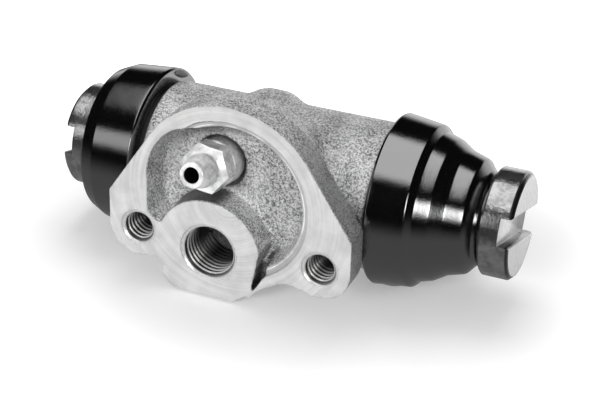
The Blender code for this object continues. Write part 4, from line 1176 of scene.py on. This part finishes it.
class WHEELCYL_OT_stage(MakesPiece, bpy.types.Operator):
    """Makes the floor, the soft studio lights and the camera"""

    bl_idname = "wheelcyl.stage"
    bl_label = "Stage"

    def execute(self, context):
        s = context.scene.wheelcyl_stage
        self.floor(s)
        self.world(context.scene)
        self.lights(context.scene)
        self.camera(context.scene, s)
        context.scene.view_settings.view_transform = 'Standard'
        return {'FINISHED'}

    @staticmethod
    def floor(s):
        """A square floor just under the part. To the camera it also glows, weakly under the part and more
        further out, so that it is white where no shadow falls."""
        level = float(CAD_BOUNDS[0][2]) - FLOOR_GAP
        half = 1.5
        made, n = new_finish("studio_floor")
        diffuse = n.add("ShaderNodeBsdfDiffuse", Color=(*s.floor_colour, 1.0))
        _, (x, y, _) = n.place()
        away = (x * x * 0.5 + y * y).power(0.5)
        glow = n.tint(n.smooth(away, 0.03, 0.08), 0.21, 1.0)
        both = n.add("ShaderNodeAddShader", i0=diffuse, i1=n.add("ShaderNodeEmission", Color=glow, Strength=1.0))
        n.end(n.add("ShaderNodeMixShader", i0=n.ray("Camera"), i1=diffuse, i2=both))
        vertices = np.array([[-half, -half, level], [half, -half, level], [half, half, level], [-half, half, level]])
        floor = mesh_object("studio_floor", vertices, np.array([[0, 1, 2], [0, 2, 3]]), made)
        floor.visible_glossy = False

    @staticmethod
    def world(scene):
        """White to the camera and dim for lighting. Reflections see a dark studio with three soft boxes.

        The boxes are windows in direction space: the overhead one in (x / z, y / z), and those at the front
        in (x / -y, z / -y). Behind and low down the studio is pale, and its floor is grey.
        """
        world = bpy.data.worlds.new("studio")
        world.use_nodes = True
        n = Shader(world.node_tree)
        x, y, z = n.split(n.add("ShaderNodeTexCoord", output="Generated"))

        def window(value, low, high, edge):
            return n.smooth(value, low - edge, low + edge) * n.fade(value, high - edge, high + edge)
        up = z.most(0.05)
        across, along = x / up, y / up
        front_edge = (across * -1 - 0.32).most(0) * 1.5 - 0.8
        overhead = n.smooth(across, -0.8, -0.4) * n.fade(across, 0.3, 0.45) * n.fade(along, 0.42, 0.58) \
            * n.smooth(along - front_edge, -0.15, 0.15) * n.smooth(z, 0.1, 0.2)
        ahead = (y * -1).most(0.05)
        front = n.smooth(y * -1, 0.1, 0.2)
        left = window(x / ahead, -1.15, -0.25, 0.08) * window(z / ahead, 0.26, 0.78, 0.1) * front
        right = window(x / ahead, 0.42, 1.05, 0.2) * window(z / ahead, 0.24, 0.6, 0.13) * front
        ground = n.smooth(z * -1, 0.05, 0.5)
        back = n.smooth(y, 0.6, 0.8) * n.fade(z, 0.1, 0.34) * n.smooth(z + x * 0.48, -0.45, -0.3)
        reflected = overhead * 2.1 + left * 1.4 + right * 12.0 + ground * 0.26 + back * 1.2 + 0.005
        camera, glossy = n.ray("Camera"), n.ray("Glossy")
        strength = (reflected * glossy + (1 - glossy) * 0.36) * (1 - camera) + camera
        n.end(n.add("ShaderNodeBackground", Color=(1, 1, 1, 1), Strength=strength), "World")
        scene.world = world

    @staticmethod
    def lights(scene):
        """Soft boxes that light the diffuse finishes; reflections see those of the world instead."""
        for name, at, size, radiance in (("overhead_box", (-0.05, 0.16, 0.40), (0.26, 0.30), 3.2),
                                         ("front_box", (-0.09, -0.50, 0.15), (0.24, 0.18), 18.0),
                                         ("front_right_box", (0.44, -0.20, 0.10), (0.12, 0.12), 3.0)):
            lamp = bpy.data.lights.new(name, 'AREA')
            lamp.shape = 'RECTANGLE'
            lamp.size, lamp.size_y = size
            lamp.energy = radiance * math.pi * size[0] * size[1]
            made = bpy.data.objects.new(name, lamp)
            made.visible_glossy = False
            scene.collection.objects.link(made)
            turn = Vector(at).to_track_quat('Z', 'Y').to_matrix().to_4x4()
            made.matrix_world = Matrix.Translation(Vector((0, BORE_Y, 0)) + Vector(at)) @ turn

    @staticmethod
    def camera(scene, s):
        """Stands the camera at an azimuth and elevation about the aim point, turned by its roll."""
        back = Vector((math.sin(s.azimuth) * math.cos(s.elevation), -math.cos(s.azimuth) * math.cos(s.elevation),
                       math.sin(s.elevation)))
        data = bpy.data.cameras.new("photo_camera")
        data.sensor_width = 36.0
        data.lens = s.focal_ratio * data.sensor_width
        data.shift_x, data.shift_y = s.shift_x, s.shift_y
        data.clip_start = 0.01
        made = bpy.data.objects.new("photo_camera", data)
        scene.collection.objects.link(made)
        aim = Vector((s.aim_x, BORE_Y, s.aim_z))
        level = back.to_track_quat('Z', 'Y').to_matrix().to_4x4()
        made.matrix_world = Matrix.Translation(aim + back * s.distance) @ level @ Matrix.Rotation(s.roll, 4, 'Z')
        scene.camera = made


class WHEELCYL_PT_panel(bpy.types.Panel):
    """Lists the pieces and their settings"""

    bl_label = "Wheel Cylinder"
    bl_idname = "WHEELCYL_PT_panel"
    bl_space_type = 'VIEW_3D'
    bl_region_type = 'UI'
    bl_category = "Wheel Cylinder"

    def draw(self, context):
        for operator, group in PIECES:
            box = self.layout.box()
            box.operator(operator.bl_idname)
            settings = getattr(context.scene, group)
            for name in settings.bl_rna.properties.keys():
                if name not in ("rna_type", "name"):
                    box.prop(settings, name)


PIECES = ((WHEELCYL_OT_casting, "wheelcyl_casting"), (WHEELCYL_OT_threads, "wheelcyl_threads"),
          (WHEELCYL_OT_bleed_screw, "wheelcyl_bleed"), (WHEELCYL_OT_pistons, "wheelcyl_pistons"),
          (WHEELCYL_OT_boots, "wheelcyl_boots"), (WHEELCYL_OT_seals, "wheelcyl_boots"),
          (WHEELCYL_OT_stage, "wheelcyl_stage"))
GROUPS = {"wheelcyl_casting": CastingSettings, "wheelcyl_threads": ThreadSettings, "wheelcyl_bleed": BleedSettings,
          "wheelcyl_pistons": PistonSettings, "wheelcyl_boots": BootSettings, "wheelcyl_stage": StageSettings}
CLASSES = (*GROUPS.values(), *(operator for operator, _ in PIECES), WHEELCYL_PT_panel)


def register():
    for each in CLASSES:
        bpy.utils.register_class(each)
    for name, group in GROUPS.items():
        setattr(bpy.types.Scene, name, PointerProperty(type=group))


def unregister():
    for name in GROUPS:
        delattr(bpy.types.Scene, name)
    for each in reversed(CLASSES):
        bpy.utils.unregister_class(each)


def main():
    """Makes every piece and the stage."""
    register()
    bpy.ops.wheelcyl.stage()
    bpy.ops.wheelcyl.casting()
    bpy.ops.wheelcyl.threads()
    bpy.ops.wheelcyl.bleed_screw()
    bpy.ops.wheelcyl.pistons()
    bpy.ops.wheelcyl.seals()
    bpy.ops.wheelcyl.boots()


if __name__ == "__main__":
    main()
